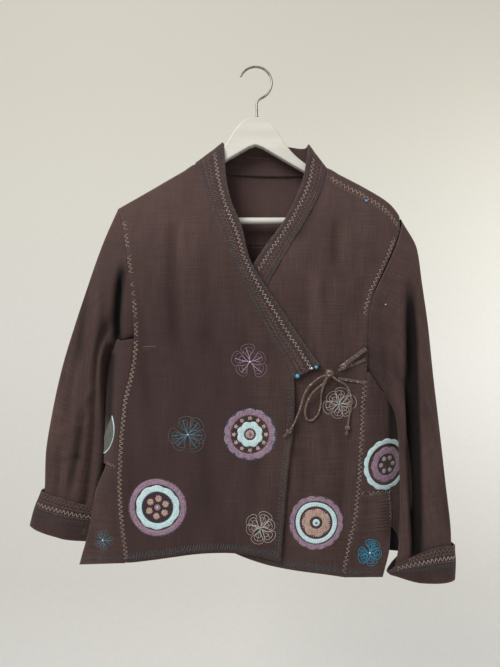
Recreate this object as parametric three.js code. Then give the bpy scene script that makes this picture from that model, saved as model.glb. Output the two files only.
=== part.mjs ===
// Short wrap jacket of brown cloth, tied at one side, hanging flat on a wooden hanger.
// Millimetres, +Z up, front faces -Y. The origin is the inner crown of the hanger's hook.
// Left and right are the wearer's: the right front lies on top and is at -X.

import * as THREE from 'three';

// Cloth sizes
const CLOTH = 1.8;
const BAND_CLOTH = 2.4;
const CUFF_CLOTH = 2.6;
const SEAM_GAP = 0.45;

// Crest of the shoulders, where the cloth goes over the hanger's arms
const CREST_RADIUS = 9.5;
const CREST = [
  { x: -240, z: -234 },
  { x: -209, z: -216 },
  { x: -160, z: -188 },
  { x: -110, z: -159 },
  { x: -88, z: -147 },
  { x: 106, z: -153 },
  { x: 128, z: -164 },
  { x: 168, z: -185 },
  { x: 201, z: -206 },
  { x: 214, z: -221 },
  { x: 224, z: -240 },
];

// How far the layers stand from the hanger's plane, away from the crest
const FRONT_DEPTH = { right: 31, left: 24 };
const BACK_DEPTH = 22;
const DEPTH_REACH = 60;

// Seams of the front panels, from the shoulder to the hem
const SIDE_SEAM = {
  right: [
    { z: -216, x: -207 }, { z: -250, x: -197 }, { z: -305, x: -188 }, { z: -361, x: -181 },
    { z: -412, x: -178 }, { z: -447, x: -181 }, { z: -505, x: -194 }, { z: -568, x: -200 },
    { z: -615, x: -202 }, { z: -686, x: -198 }, { z: -738, x: -191 },
  ],
  left: [
    { z: -240, x: 219 }, { z: -256, x: 215 }, { z: -288, x: 202 }, { z: -319, x: 187 },
    { z: -351, x: 173 }, { z: -388, x: 166 }, { z: -462, x: 164 }, { z: -525, x: 160 },
    { z: -617, x: 155 }, { z: -664, x: 151 }, { z: -711, x: 141 }, { z: -763, x: 131 },
  ],
};

// Centre edges: the neckband's seam down to the band's end, then the free front edge
const CENTRE_EDGE = {
  right: [
    { z: -146, x: -89 }, { z: -190, x: -73 }, { z: -235, x: -57 }, { z: -276, x: -39 },
    { z: -339, x: -11 }, { z: -406, x: 22 }, { z: -470, x: 56 }, { z: -510, x: 57 },
    { z: -608, x: 47 }, { z: -740, x: 36 },
  ],
  left: [
    { z: -153, x: 106 }, { z: -185, x: 99 }, { z: -224, x: 80 }, { z: -270, x: 52 },
    { z: -329, x: 18 }, { z: -387, x: -14 }, { z: -428, x: -35 }, { z: -470, x: -56 }, { z: -510, x: -57 },
    { z: -722, x: -46 },
  ],
};
const BAND_END_Z = -470;

// Neckband, row by row: its seam, its free edge and how far the free edge stands back from the seam
const BAND_FRONT_RIGHT = [
  { seamX: 56, seamZ: -470, edgeX: 94, edgeZ: -450, back: 0 },
  { seamX: 37, seamZ: -435, edgeX: 68, edgeZ: -414, back: 0 },
  { seamX: 11, seamZ: -384, edgeX: 39, edgeZ: -370, back: 0 },
  { seamX: -11, seamZ: -339, edgeX: 11, edgeZ: -329, back: 0.3 },
  { seamX: -28, seamZ: -300, edgeX: -9, edgeZ: -293, back: 0.6 },
  { seamX: -49, seamZ: -254, edgeX: -21, edgeZ: -245, back: 0 },
  { seamX: -65, seamZ: -213, edgeX: -36, edgeZ: -208, back: -2 },
  { seamX: -77, seamZ: -180, edgeX: -43, edgeZ: -176, back: -3 },
  { seamX: -86, seamZ: -158, edgeX: -46, edgeZ: -146, back: -2 },
  { seamX: -88.5, seamZ: -149, edgeX: -48, edgeZ: -120, back: -1 },
];
const BAND_BACK = [
  { seamX: -89, seamZ: -144.5, edgeX: -49, edgeZ: -110.5, seamY: 0, edgeY: 0 },
  { seamX: -88, seamZ: -149, edgeX: -47, edgeZ: -113, seamY: 8.5, edgeY: 9.5 },
  { seamX: -76, seamZ: -152, edgeX: -40, edgeZ: -115, seamY: 15, edgeY: 16 },
  { seamX: -44, seamZ: -154, edgeX: -28, edgeZ: -116, seamY: 20.5, edgeY: 19.5 },
  { seamX: 5, seamZ: -156, edgeX: 10, edgeZ: -116, seamY: 22, edgeY: 20.5 },
  { seamX: 56, seamZ: -157, edgeX: 50, edgeZ: -116, seamY: 20.5, edgeY: 19.5 },
  { seamX: 92, seamZ: -157, edgeX: 70, edgeZ: -116, seamY: 15, edgeY: 16 },
  { seamX: 105, seamZ: -155, edgeX: 78, edgeZ: -116, seamY: 8.5, edgeY: 9.5 },
  { seamX: 106, seamZ: -151.5, edgeX: 80, edgeZ: -114, seamY: 0, edgeY: 0 },
];
const BAND_FRONT_LEFT = [
  { seamX: 105.5, seamZ: -157, edgeX: 79, edgeZ: -122, back: -1 },
  { seamX: 103.5, seamZ: -168, edgeX: 76, edgeZ: -146, back: -1 },
  { seamX: 98, seamZ: -188, edgeX: 70, edgeZ: -174, back: -1 },
  { seamX: 86, seamZ: -214, edgeX: 59, edgeZ: -203, back: -0.5 },
  { seamX: 66, seamZ: -249, edgeX: 42, edgeZ: -236, back: 0 },
  { seamX: 40, seamZ: -291, edgeX: 16, edgeZ: -272, back: 0 },
  { seamX: 18, seamZ: -329, edgeX: -8, edgeZ: -308, back: 0 },
  { seamX: -14, seamZ: -387, edgeX: -45, edgeZ: -368, back: 0 },
  { seamX: -35, seamZ: -428, edgeX: -67, edgeZ: -409, back: 0 },
  { seamX: -56, seamZ: -470, edgeX: -88, edgeZ: -450, back: 0 },
];

// Hems: height of each bow above the line between its corners
const HEM_BOW = { right: 14, left: -9, back: 12 };
const HEM_BACK_Z = -738;
const YOKE_Z = -268;

// Side folds of the body, the free edges of the lower side pieces and the folds behind them
const BODY_FOLD = {
  right: [
    { z: -425, x: -217 }, { z: -474, x: -216 }, { z: -526, x: -211 }, { z: -579, x: -220 },
    { z: -600, x: -225 }, { z: -640, x: -228 }, { z: -742, x: -228 },
  ],
  left: [
    { z: -500, x: 193 }, { z: -525, x: 196 }, { z: -555, x: 203 }, { z: -600, x: 205 },
    { z: -641, x: 205 }, { z: -696, x: 208 }, { z: -742, x: 230 },
  ],
};
const GORE_EDGE = {
  right: [{ z: -600, x: -225 }, { z: -634, x: -236 }, { z: -690, x: -246 }, { z: -746, x: -261 }],
  left: [
    { z: -641, x: 205 }, { z: -696, x: 204 }, { z: -712, x: 202 }, { z: -736, x: 197 }, { z: -766, x: 189 },
  ],
};
const FOLD_Y = -3;
const REAR_FOLD_Y = { right: -3, left: 6 };
const GORE_TOP_Z = { right: -600, left: -641 };
const VENT_TOP_Z = { right: -600, left: -690 };
const VENT_TURN = 42;
const GORE_HEM_Z = { right: { seam: -739, edge: -745 }, left: { seam: -763, edge: -766 } };
const REAR_HEM_Z = { right: -738, left: -738 };

// Level tucks across the left lower side piece: from and to are shares of its height
const TUCKS = { count: 10, from: 0.07, to: 0.45, rowsBelow: 5, columnLift: [0, 0, 0, 0.7, 1.3, 1.3, 1.3, 1, 0] };

// Sleeves: outer and inner outline, half depth and centre depth of each section
const SLEEVE = {
  right: [
    { outerX: -207.5, outerZ: -215, innerX: -178.6, innerZ: -411, half: 15, y: -2 },
    { outerX: -228, outerZ: -262, innerX: -202, innerZ: -415, half: 16, y: -1 },
    { outerX: -252, outerZ: -328, innerX: -222, innerZ: -424, half: 17, y: 0 },
    { outerX: -274, outerZ: -394, innerX: -229, innerZ: -456, half: 17, y: 1 },
    { outerX: -294, outerZ: -458, innerX: -229, innerZ: -507, half: 16, y: 3 },
    { outerX: -309, outerZ: -524, innerX: -230, innerZ: -560, half: 15, y: 4 },
    { outerX: -320, outerZ: -590, innerX: -235, innerZ: -615, half: 14, y: 6 },
    { outerX: -323, outerZ: -646, innerX: -245, innerZ: -670, half: 13, y: 8 },
    { outerX: -338, outerZ: -690, innerX: -253, innerZ: -712, half: 13, y: 8 },
  ],
  left: [
    { outerX: 219.6, outerZ: -231, innerX: 164.6, innerZ: -461, half: 14, y: -2 },
    { outerX: 243, outerZ: -277, innerX: 180, innerZ: -478, half: 15, y: -5 },
    { outerX: 250, outerZ: -324, innerX: 197, innerZ: -499, half: 14, y: -9 },
    { outerX: 259, outerZ: -392, innerX: 211, innerZ: -530, half: 13, y: -13 },
    { outerX: 269, outerZ: -466, innerX: 214, innerZ: -566, half: 13, y: -15 },
    { outerX: 278, outerZ: -545, innerX: 215, innerZ: -608, half: 13, y: -16 },
    { outerX: 288, outerZ: -624, innerX: 216, innerZ: -655, half: 13, y: -16 },
    { outerX: 296, outerZ: -700, innerX: 216, innerZ: -718, half: 14, y: -16 },
    { outerX: 299, outerZ: -764, innerX: 209, innerZ: -760, half: 14, y: -16 },
  ],
};

// Long folds pressed into the sleeves: place across, depth, half width, start and end down the sleeve
const SLEEVE_FOLD = {
  right: [
    { across: 0.62, depth: 7, width: 0.16, from: 0.1, to: 0.95 },
    { across: -0.35, depth: 4, width: 0.22, from: 0.35, to: 0.9 },
  ],
  left: [
    { across: 0.45, depth: 9, width: 0.14, from: 0.16, to: 0.98 },
    { across: -0.4, depth: 3, width: 0.25, from: 0.3, to: 0.9 },
  ],
};
const CUFF = {
  right: [
    { outerX: -327, outerZ: -644, innerX: -240, innerZ: -672, half: 16.2, y: 8 },
    { outerX: -338, outerZ: -670, innerX: -244, innerZ: -694, half: 16.6, y: 8 },
    { outerX: -345, outerZ: -696, innerX: -249, innerZ: -722, half: 16.2, y: 8 },
  ],
  left: [
    { outerX: 301, outerZ: -718, innerX: 205, innerZ: -748, half: 17.1, y: -16 },
    { outerX: 304, outerZ: -744, innerX: 203, innerZ: -757, half: 17.3, y: -16 },
    { outerX: 304, outerZ: -771, innerX: 203, innerZ: -768, half: 17.1, y: -16 },
  ],
};

// Bow at the wearer's left side: flat ties first, then cords of this diameter
const TIE_DIAMETER = 3;
const TIE_SIDES = 8;
const KNOT = { x: 107, y: -32.3, z: -462, radius: 6.5 };
const KNOT_GAP = 0.45;
const FLAT_TIES = [
  { name: 'tie_strap', width: 6.5, depth: 3, route: [[123, -35, -453], [140, -31, -441], [161, -28, -426.5]] },
  { name: 'tie_ribbon', width: 5, depth: 1.4, route: [[121, -26.4, -458], [142, -25.9, -450], [161, -25.9, -442]] },
  { name: 'tie_strip', width: 5, depth: 1.4, route: [[121, -27, -470], [142, -26.1, -473], [160, -25.9, -476]] },
];
const TIE_CORDS = [
  {
    name: 'tie_tail_right',
    route: [
      [94, -33.5, -467], [86, -32, -473], [78.5, -31, -480], [73, -31.2, -488], [69, -32, -497],
      [66, -33.2, -508], [62, -34.4, -519], [58, -34.8, -529], [53.5, -35.4, -538], [50, -36, -543.5],
    ],
  },
  {
    name: 'tie_tail_left',
    route: [
      [117, -37, -471], [125, -33, -475], [132, -29.5, -480], [137.5, -27.6, -489], [139.8, -27.2, -499],
      [139.8, -27.2, -509], [138, -27.2, -519], [136, -28, -529], [134.6, -29.2, -538],
    ],
  },
];
const TIE_LOOP = [
  [100, -29, -478], [96.5, -27.6, -490], [95.5, -27.4, -501], [94.5, -27.3, -512], [90.5, -27.3, -523],
  [84, -27.4, -530], [77, -28.8, -530.5], [73, -30.8, -525], [71.8, -32.4, -516], [73.6, -33, -507],
  [77.2, -33.6, -498], [82, -35, -490], [89, -38, -482.5], [96.5, -40.5, -476],
];
const END_KNOT = [
  { at: 0.6, radius: 2.2 }, { at: 1.6, radius: 3.4 }, { at: 3.6, radius: 3.8 }, { at: 5.8, radius: 3 },
  { at: 7.2, radius: 1.5 }, { at: 16, radius: 1.3 },
];
const END_KNOTS = [
  { name: 'tie_end_right', from: [50, -36, -543.5], to: [38, -36.4, -555] },
  { name: 'tie_end_left', from: [134.6, -29.2, -538], to: [131.5, -29.4, -555] },
];

// Hanger of painted wood, with a steel wire hook
const WOOD_DEPTH = 11;
const CREST_CLEARANCE = 5;
const WOOD_TOP_Z = -76;
const WOOD_NECK_TOP = [
  { x: 8, z: -76 }, { x: 17, z: -80 }, { x: 32, z: -96 }, { x: 47, z: -119.5 }, { x: 62, z: -136 },
  { x: 76, z: -147 },
];
const WOOD_LOW_EDGE = [{ x: 1, z: -119 }, { x: 10, z: -122 }, { x: 72, z: -158 }, { x: 150, z: -202 }];
const WOOD_END = [{ x: 190.4, z: -226 }, { x: 190.4, z: -239 }, { x: 198, z: -240 }, { x: 203, z: -234 }];
const WOOD_END_TOP = 199;
const BAR = { radius: 5, z: -232.5, reach: 190 };
const HOOK = { wire: 3.4, radius: 24.6, stemX: 2, stemZ: -54, bendX: 5.4, bendZ: -48.4, first: -60, last: 158 };

// Piecewise smooth value of a table's column at a place along its key, without overshoot
function lookup(table, key, column, place) {
  const rising = table[table.length - 1][key] > table[0][key];
  const rows = rising ? table : [...table].reverse();
  const last = rows.length - 1;
  if (place <= rows[0][key]) return rows[0][column];
  if (place >= rows[last][key]) return rows[last][column];
  const slope = (i) => (rows[i + 1][column] - rows[i][column]) / (rows[i + 1][key] - rows[i][key]);
  const tangent = (i) => {
    if (i === 0) return slope(0);
    if (i === last) return slope(last - 1);
    const before = slope(i - 1);
    const after = slope(i);
    return before * after <= 0 ? 0 : (2 * before * after) / (before + after);
  };
  let i = 0;
  while (place > rows[i + 1][key]) i += 1;
  const span = rows[i + 1][key] - rows[i][key];
  const t = (place - rows[i][key]) / span;
  const t2 = t * t;
  const t3 = t2 * t;
  return (2 * t3 - 3 * t2 + 1) * rows[i][column] + (t3 - 2 * t2 + t) * span * tangent(i)
    + (3 * t2 - 2 * t3) * rows[i + 1][column] + (t3 - t2) * span * tangent(i + 1);
}

function mix(a, b, t) {
  return a + (b - a) * t;
}

function smooth(t) {
  const c = Math.min(1, Math.max(0, t));
  return c * c * (3 - 2 * c);
}

function crestZ(x) {
  return lookup(CREST, 'x', 'z', x);
}

// Distance of a layer from the hanger's plane, at a height below the crest
function layerDepth(below, full) {
  if (below <= 0) return 0;
  if (below < CREST_RADIUS) return Math.sqrt(CREST_RADIUS ** 2 - (CREST_RADIUS - below) ** 2);
  const reach = 1 - Math.exp(-(below - CREST_RADIUS) / DEPTH_REACH);
  return CREST_RADIUS + (full - CREST_RADIUS) * reach;
}

function frontY(side, x, z) {
  return -layerDepth(crestZ(x) - z, FRONT_DEPTH[side]);
}

function backY(x, z) {
  return layerDepth(crestZ(x) - z, BACK_DEPTH);
}

// A wall of cloth on a grid of points: two skins and a rim along every free edge
function wall(points, thickness, options = {}) {
  const { around = false, keep = () => true, outward = 1, relief = () => 0 } = options;
  const rows = points.length;
  const columns = points[0].length;
  const cellColumns = around ? columns : columns - 1;
  const next = (c) => (around ? (c + 1) % columns : c + 1);
  const kept = (r, c) => r >= 0 && r < rows - 1 && c >= 0 && c < cellColumns && keep(r, c);
  const normals = points.map((row) => row.map(() => new THREE.Vector3()));
  for (let r = 0; r < rows - 1; r += 1) {
    for (let c = 0; c < cellColumns; c += 1) {
      if (!kept(r, c)) continue;
      const across = points[r + 1][next(c)].clone().sub(points[r][c]);
      const down = points[r + 1][c].clone().sub(points[r][next(c)]);
      const normal = across.cross(down).multiplyScalar(outward).normalize();
      for (const [rr, cc] of [[r, c], [r + 1, c], [r, next(c)], [r + 1, next(c)]]) normals[rr][cc].add(normal);
    }
  }
  const positions = [];
  const index = (r, c, skin) => (r * columns + c) * 2 + skin;
  for (let r = 0; r < rows; r += 1) {
    for (let c = 0; c < columns; c += 1) {
      const normal = normals[r][c].normalize();
      const outer = points[r][c].clone().addScaledVector(normal, thickness / 2 + relief(r, c));
      const inner = points[r][c].clone().addScaledVector(normal, -thickness / 2);
      positions.push(...outer.toArray(), ...inner.toArray());
    }
  }
  const faces = [];
  const quad = (a, b, c, d) => {
    if (outward < 0) faces.push(a, b, c, a, c, d);
    else faces.push(a, c, b, a, d, c);
  };
  const before = (c) => (around ? (c + columns - 1) % columns : c - 1);
  const after = (c) => (around ? (c + 1) % columns : c + 1);
  for (let r = 0; r < rows - 1; r += 1) {
    for (let c = 0; c < cellColumns; c += 1) {
      if (!kept(r, c)) continue;
      const n = next(c);
      quad(index(r, c, 0), index(r + 1, c, 0), index(r + 1, n, 0), index(r, n, 0));
      quad(index(r, n, 1), index(r + 1, n, 1), index(r + 1, c, 1), index(r, c, 1));
      if (!kept(r - 1, c)) quad(index(r, n, 0), index(r, n, 1), index(r, c, 1), index(r, c, 0));
      if (!kept(r + 1, c)) quad(index(r + 1, c, 0), index(r + 1, c, 1), index(r + 1, n, 1), index(r + 1, n, 0));
      if (!kept(r, before(c))) quad(index(r, c, 0), index(r, c, 1), index(r + 1, c, 1), index(r + 1, c, 0));
      if (!kept(r, after(c))) quad(index(r + 1, n, 0), index(r + 1, n, 1), index(r, n, 1), index(r, n, 0));
    }
  }
  return solid(positions, faces);
}

// A geometry with only the points that its faces use
function solid(positions, faces) {
  const used = new Map();
  const kept = [];
  const indices = faces.map((old) => {
    if (!used.has(old)) {
      used.set(old, used.size);
      kept.push(positions[3 * old], positions[3 * old + 1], positions[3 * old + 2]);
    }
    return used.get(old);
  });
  const geometry = new THREE.BufferGeometry();
  geometry.setAttribute('position', new THREE.Float32BufferAttribute(kept, 3));
  geometry.setIndex(indices);
  geometry.computeVertexNormals();
  return geometry;
}

function grid(rows, columns, point) {
  const points = [];
  for (let r = 0; r <= rows; r += 1) {
    const line = [];
    for (let c = 0; c <= columns; c += 1) line.push(new THREE.Vector3(...point(r / rows, c / columns, r, c)));
    points.push(line);
  }
  return points;
}

// Front panels: heights of the side seam and of the centre edge, at the shoulder and at the hem
const FRONT_ROWS = 22;
const SEAM_TOP_Z = { right: -216, left: -252 };
const CENTRE_TOP_Z = { right: -146, left: -167 };
const SEAM_HEM_Z = { right: -738, left: -763 };
const CENTRE_HEM_Z = { right: -737, left: -720 };
const CREST_STEPS = 6;
const CREST_TURN = 1.35;
const SHOULDER_SEAM_DROP = { neck: 14, arm: 22 };

function seamX(side, z) {
  return lookup(SIDE_SEAM[side], 'z', 'x', z);
}

function centreX(side, z) {
  return lookup(CENTRE_EDGE[side], 'z', 'x', z);
}

function shoulderZ(side, x) {
  if (side === 'right') return crestZ(x);
  const drop = mix(SHOULDER_SEAM_DROP.neck, SHOULDER_SEAM_DROP.arm, smooth((x - 180) / 40));
  return crestZ(x) - drop;
}

// Front panel: down 0 at the shoulder to 1 at the hem, across 0 at the side seam to 1 at the centre
function frontPoint(side, down, across) {
  const seamZ = mix(SEAM_TOP_Z[side], SEAM_HEM_Z[side], down);
  const centreZ = mix(CENTRE_TOP_Z[side], CENTRE_HEM_Z[side], down);
  const towards = side === 'right' ? 1 : -1;
  const startX = seamX(side, seamZ) + towards * SEAM_GAP;
  const endX = centreX(side, centreZ) - towards * SEAM_GAP * 2.4;
  const x = mix(startX, endX, across);
  const topX = mix(seamX(side, SEAM_TOP_Z[side]), centreX(side, CENTRE_TOP_Z[side]), across);
  const topZ = shoulderZ(side, topX) - mix(SEAM_TOP_Z[side], CENTRE_TOP_Z[side], across);
  const hem = HEM_BOW[side] * Math.sin(Math.PI * across ** 1.4);
  const z = mix(seamZ, centreZ, across) + topZ * (1 - smooth(down / 0.35)) + hem * smooth((down - 0.75) / 0.25);
  return [x, frontY(side, x, z), z];
}

function crestPoint(x, angle) {
  return [x, CREST_RADIUS * Math.sin(angle), crestZ(x) - CREST_RADIUS * (1 - Math.cos(angle))];
}

// The right front also wraps over the crest to the back of the shoulder
function frontRight() {
  const columns = 14;
  const firstDown = 0.022;
  const startX = seamX('right', SEAM_TOP_Z.right) + SEAM_GAP;
  const endX = centreX('right', CENTRE_TOP_Z.right) - SEAM_GAP * 2;
  const over = grid(CREST_STEPS, columns, (along, across) => (
    crestPoint(mix(startX, endX, across), mix(CREST_TURN, -CREST_TURN, along))
  ));
  const front = grid(FRONT_ROWS, columns, (along, across) => (
    frontPoint('right', mix(firstDown, 1, along ** 1.15), across)
  ));
  return wall([...over.slice(0, -1), ...front], CLOTH, { outward: -1 });
}

// The left front's shoulder seam lies a little way down the front
function frontLeft() {
  return wall(grid(FRONT_ROWS, 13, (down, across) => frontPoint('left', down, across)), CLOTH);
}

// Back: columns from the right armhole over the neck to the left armhole
const BACK_COLUMNS = { shoulder: 6, neck: 8 };
const NECK_FADE = 90;

function backTopX(column) {
  const { shoulder, neck } = BACK_COLUMNS;
  const startX = seamX('right', SEAM_TOP_Z.right) + SEAM_GAP * 3;
  const endX = seamX('left', SEAM_TOP_Z.left) - SEAM_GAP * 2;
  const neckStart = BAND_BACK[0].seamX;
  const neckEnd = BAND_BACK[BAND_BACK.length - 1].seamX + SEAM_GAP * 2;
  if (column <= shoulder) return mix(startX, neckStart, column / shoulder);
  if (column <= shoulder + neck) return mix(neckStart, neckEnd, (column - shoulder) / neck);
  return mix(neckEnd, endX, (column - shoulder - neck) / shoulder);
}

function backTop(column) {
  const x = backTopX(column);
  const { shoulder, neck } = BACK_COLUMNS;
  const wrapped = crestPoint(x, CREST_TURN);
  if (column < shoulder) return new THREE.Vector3(x, wrapped[1], wrapped[2] - SEAM_GAP * 2.5);
  if (column >= shoulder + neck) return new THREE.Vector3(...wrapped);
  const y = lookup(BAND_BACK, 'seamX', 'seamY', x);
  const z = lookup(BAND_BACK, 'seamX', 'seamZ', x) - SEAM_GAP * 2;
  return new THREE.Vector3(x, Math.max(y, wrapped[1]), Math.min(z, wrapped[2] - SEAM_GAP * 2.5));
}

function backPoint(column, z) {
  const top = backTop(column);
  const first = backTopX(0);
  const last = backTopX(2 * BACK_COLUMNS.shoulder + BACK_COLUMNS.neck);
  const share = (top.x - first) / (last - first);
  const x = mix(seamX('right', z) + SEAM_GAP * 2, seamX('left', z) - SEAM_GAP * 2, share);
  const fade = 1 - smooth((top.z - z) / NECK_FADE);
  const extra = (top.y - layerDepth(crestZ(top.x) - top.z, BACK_DEPTH)) * fade;
  return [x, backY(x, z) + extra, z];
}

function backYoke() {
  const columns = 2 * BACK_COLUMNS.shoulder + BACK_COLUMNS.neck;
  const overFrom = BACK_COLUMNS.shoulder + BACK_COLUMNS.neck;
  const seamRow = [];
  for (let c = 0; c <= columns; c += 1) {
    const x = backTopX(c);
    const z = shoulderZ('left', x) + SEAM_GAP * 4;
    seamRow.push(new THREE.Vector3(x, frontY('left', x, z), z));
  }
  const over = grid(CREST_STEPS, columns, (along, across, r, c) => (
    crestPoint(backTopX(c), mix(-CREST_TURN, CREST_TURN, along))
  ));
  const top = [];
  for (let c = 0; c <= columns; c += 1) top.push(backTop(c));
  const overRows = [seamRow, ...over.slice(0, -1)];
  const down = grid(6, columns, (along, across, r, c) => {
    const z = mix(backTop(c).z, YOKE_Z + SEAM_GAP / 2, along);
    return r === 0 ? top[c].toArray() : backPoint(c, z);
  });
  const keep = (r, c) => r >= overRows.length || c >= overFrom;
  return wall([...overRows, ...down], CLOTH, { keep });
}

function backLower() {
  const columns = 2 * BACK_COLUMNS.shoulder + BACK_COLUMNS.neck;
  const points = grid(16, columns, (along, across, r, c) => {
    const hem = HEM_BACK_Z + HEM_BOW.back * Math.sin(Math.PI * across);
    return backPoint(c, mix(YOKE_Z - SEAM_GAP / 2, hem, along));
  });
  return wall(points, CLOTH);
}

// Side pieces: round 0 at the front seam, one half at the side fold, 1 at the back seam
function sidePoint(side, round, z, foldX, foldY) {
  const outwards = side === 'right' ? -1 : 1;
  const seam = seamX(side, z) + outwards * SEAM_GAP;
  const turn = Math.PI * round;
  const y = turn < Math.PI / 2 ? frontY(side, seam, z) : backY(seam, z);
  return [seam + (foldX - seam) * Math.sin(turn), foldY + (y - foldY) * Math.abs(Math.cos(turn)), z];
}

const UNDERARM_GAP = 3.5;
const SIDE_COLUMNS = 12;
const SIDE_ROWS = { upper: 9, rear: 7 };

function sidePiece(side) {
  const top = BODY_FOLD[side][0];
  const upper = grid(SIDE_ROWS.upper, SIDE_COLUMNS, (along, round) => {
    const topZ = SLEEVE[side][0].innerZ;
    const start = sidePoint(side, round, topZ, top.x, FOLD_Y);
    const startZ = lookup(SLEEVE[side].slice(0, 3), 'innerX', 'innerZ', start[0]) - UNDERARM_GAP;
    const z = mix(startZ, GORE_TOP_Z[side], along);
    return sidePoint(side, round, z, lookup(BODY_FOLD[side], 'z', 'x', z), FOLD_Y);
  });
  const rear = grid(SIDE_ROWS.rear, SIDE_COLUMNS, (along, round) => {
    const z = mix(GORE_TOP_Z[side], REAR_HEM_Z[side], along);
    const foldY = mix(FOLD_Y, REAR_FOLD_Y[side], smooth((VENT_TOP_Z[side] - z) / VENT_TURN));
    return sidePoint(side, round, z, lookup(BODY_FOLD[side], 'z', 'x', z), foldY);
  });
  const keep = (r, c) => r < SIDE_ROWS.upper || c >= SIDE_COLUMNS / 2;
  const outward = side === 'right' ? 1 : -1;
  return wall([...upper, ...rear.slice(1)], CLOTH, { outward, keep });
}

// Lower side pieces, open along the vent
function gorePoint(side, down, across) {
  const { seam: seamHem, edge: edgeHem } = GORE_HEM_Z[side];
  const z = mix(GORE_TOP_Z[side] - SEAM_GAP * 2, mix(seamHem, edgeHem, across), down);
  const outwards = side === 'right' ? -1 : 1;
  const seam = seamX(side, z) + outwards * SEAM_GAP;
  const edge = lookup(GORE_EDGE[side], 'z', 'x', z) - outwards * SEAM_GAP * 4;
  const flat = smooth((VENT_TOP_Z[side] - z) / VENT_TURN);
  const turn = (Math.PI / 2) * across;
  const x = seam + (edge - seam) * mix(Math.sin(turn), across, flat);
  const y = frontY(side, seam, z);
  return [x, mix(FOLD_Y + (y - FOLD_Y) * Math.cos(turn), y * (1 - 0.3 * across), flat), z];
}

// Rows of a lower side piece, closer together over the tucks
function goreRows(side) {
  const evenly = (count, from, to) => Array.from({ length: count }, (_, i) => mix(from, to, (i + 1) / count));
  if (side === 'right') return [0, ...evenly(9, 0, 1)];
  const { count, from, to, rowsBelow } = TUCKS;
  return [0, from, ...evenly(2 * count, from, to), ...evenly(rowsBelow, to, 1)];
}

function gore(side) {
  const rows = goreRows(side);
  const columns = TUCKS.columnLift.length - 1;
  const points = grid(rows.length - 1, columns, (down, across, r) => gorePoint(side, rows[r], across));
  const tucked = (r, c) => {
    const inTucks = rows[r] > TUCKS.from && rows[r] < TUCKS.to;
    return side === 'left' && inTucks && r % 2 === 0 ? TUCKS.columnLift[c] : 0;
  };
  return wall(points, CLOTH, { outward: side === 'right' ? 1 : -1, relief: tucked });
}

// Sleeves and cuffs: closed rings, round 0 at the outer edge, one quarter in front, one half inside
const RING_POINTS = 24;
const SLEEVE_ROWS = 21;
const ARMHOLE_FADE = 0.2;

function ringPoint(table, along, round, squareness) {
  const place = along * (table.length - 1);
  const value = (column) => lookup(table.map((row, i) => ({ ...row, i })), 'i', column, place);
  const across = (1 - Math.cos(2 * Math.PI * round)) / 2;
  const bulge = Math.sin(2 * Math.PI * round);
  const depth = -Math.sign(bulge) * Math.abs(bulge) ** squareness;
  return [
    mix(value('outerX'), value('innerX'), across),
    value('y') + value('half') * depth,
    mix(value('outerZ'), value('innerZ'), across),
  ];
}

function armholePoint(side, round) {
  const first = SLEEVE[side][0];
  const across = (1 - Math.cos(2 * Math.PI * round)) / 2;
  const outwards = side === 'right' ? -1 : 1;
  const z = mix(first.outerZ, first.innerZ, across);
  const x = seamX(side, z) + outwards * SEAM_GAP * 2.5;
  const closing = across > 0.5 ? Math.abs(Math.sin(2 * Math.PI * round)) ** 0.3 : 1;
  return [x, (round < 0.5 ? frontY(side, x, z) : backY(x, z)) * closing, z];
}

function sleevePoint(side, along, round) {
  const straight = ringPoint(SLEEVE[side], along, round, 0.7);
  const flatStart = ringPoint(SLEEVE[side], 0, round, 0.7);
  const armhole = armholePoint(side, round);
  const near = 1 - smooth(along / ARMHOLE_FADE);
  const x = straight[0] + (armhole[0] - flatStart[0]) * near;
  let y = mix(straight[1], armhole[1], near);
  const across = -Math.cos(2 * Math.PI * round);
  if (round < 0.5) {
    for (const fold of SLEEVE_FOLD[side]) {
      const ends = smooth((along - fold.from) / 0.15) * smooth((fold.to - along) / 0.1);
      y += fold.depth * ends * Math.exp(-(((across - fold.across) / fold.width) ** 2));
    }
  }
  return new THREE.Vector3(x, y, straight[2]);
}

function ringWall(rows, thickness, side, point) {
  const points = [];
  for (let r = 0; r <= rows; r += 1) {
    const line = [];
    for (let j = 0; j < RING_POINTS; j += 1) line.push(point(r / rows, j / RING_POINTS));
    points.push(line);
  }
  return wall(points, thickness, { around: true, outward: side === 'right' ? -1 : 1 });
}

function sleeve(side) {
  return ringWall(SLEEVE_ROWS, CLOTH, side, (along, round) => sleevePoint(side, along, round));
}

function cuff(side) {
  return ringWall(5, CUFF_CLOTH, side, (along, round) => (
    new THREE.Vector3(...ringPoint(CUFF[side], along, round, 0.7))
  ));
}

// Neckband: one long strip from the right front's end round the neck to the left front's end
const BAND_STEPS = 2;

function bandRows() {
  const rows = [
    ...BAND_FRONT_RIGHT.map((row) => ({ ...row, side: 'right' })),
    ...BAND_BACK,
    ...BAND_FRONT_LEFT.map((row) => ({ ...row, side: 'left' })),
  ];
  return rows.map((row, order) => {
    const seamY = row.side ? frontY(row.side, row.seamX, row.seamZ) : row.seamY;
    const edgeY = row.side ? seamY + row.back : row.edgeY;
    return { ...row, seamY, edgeY, order };
  });
}

function neckband() {
  const rows = bandRows();
  const last = rows.length - 1;
  const points = grid(last * BAND_STEPS, 3, (along, across) => {
    const value = (column) => lookup(rows, 'order', column, along * last);
    const side = rows[Math.round(along * last)].side;
    const seamZ = value('seamZ');
    const seam = side ? centreX(side, seamZ) : value('seamX');
    const y = side ? frontY(side, seam, seamZ) : value('seamY');
    return [
      mix(value('edgeX'), seam, across), mix(value('edgeY'), y, across), mix(value('edgeZ'), seamZ, across),
    ];
  });
  return wall(points, BAND_CLOTH, { outward: -1 });
}

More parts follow.
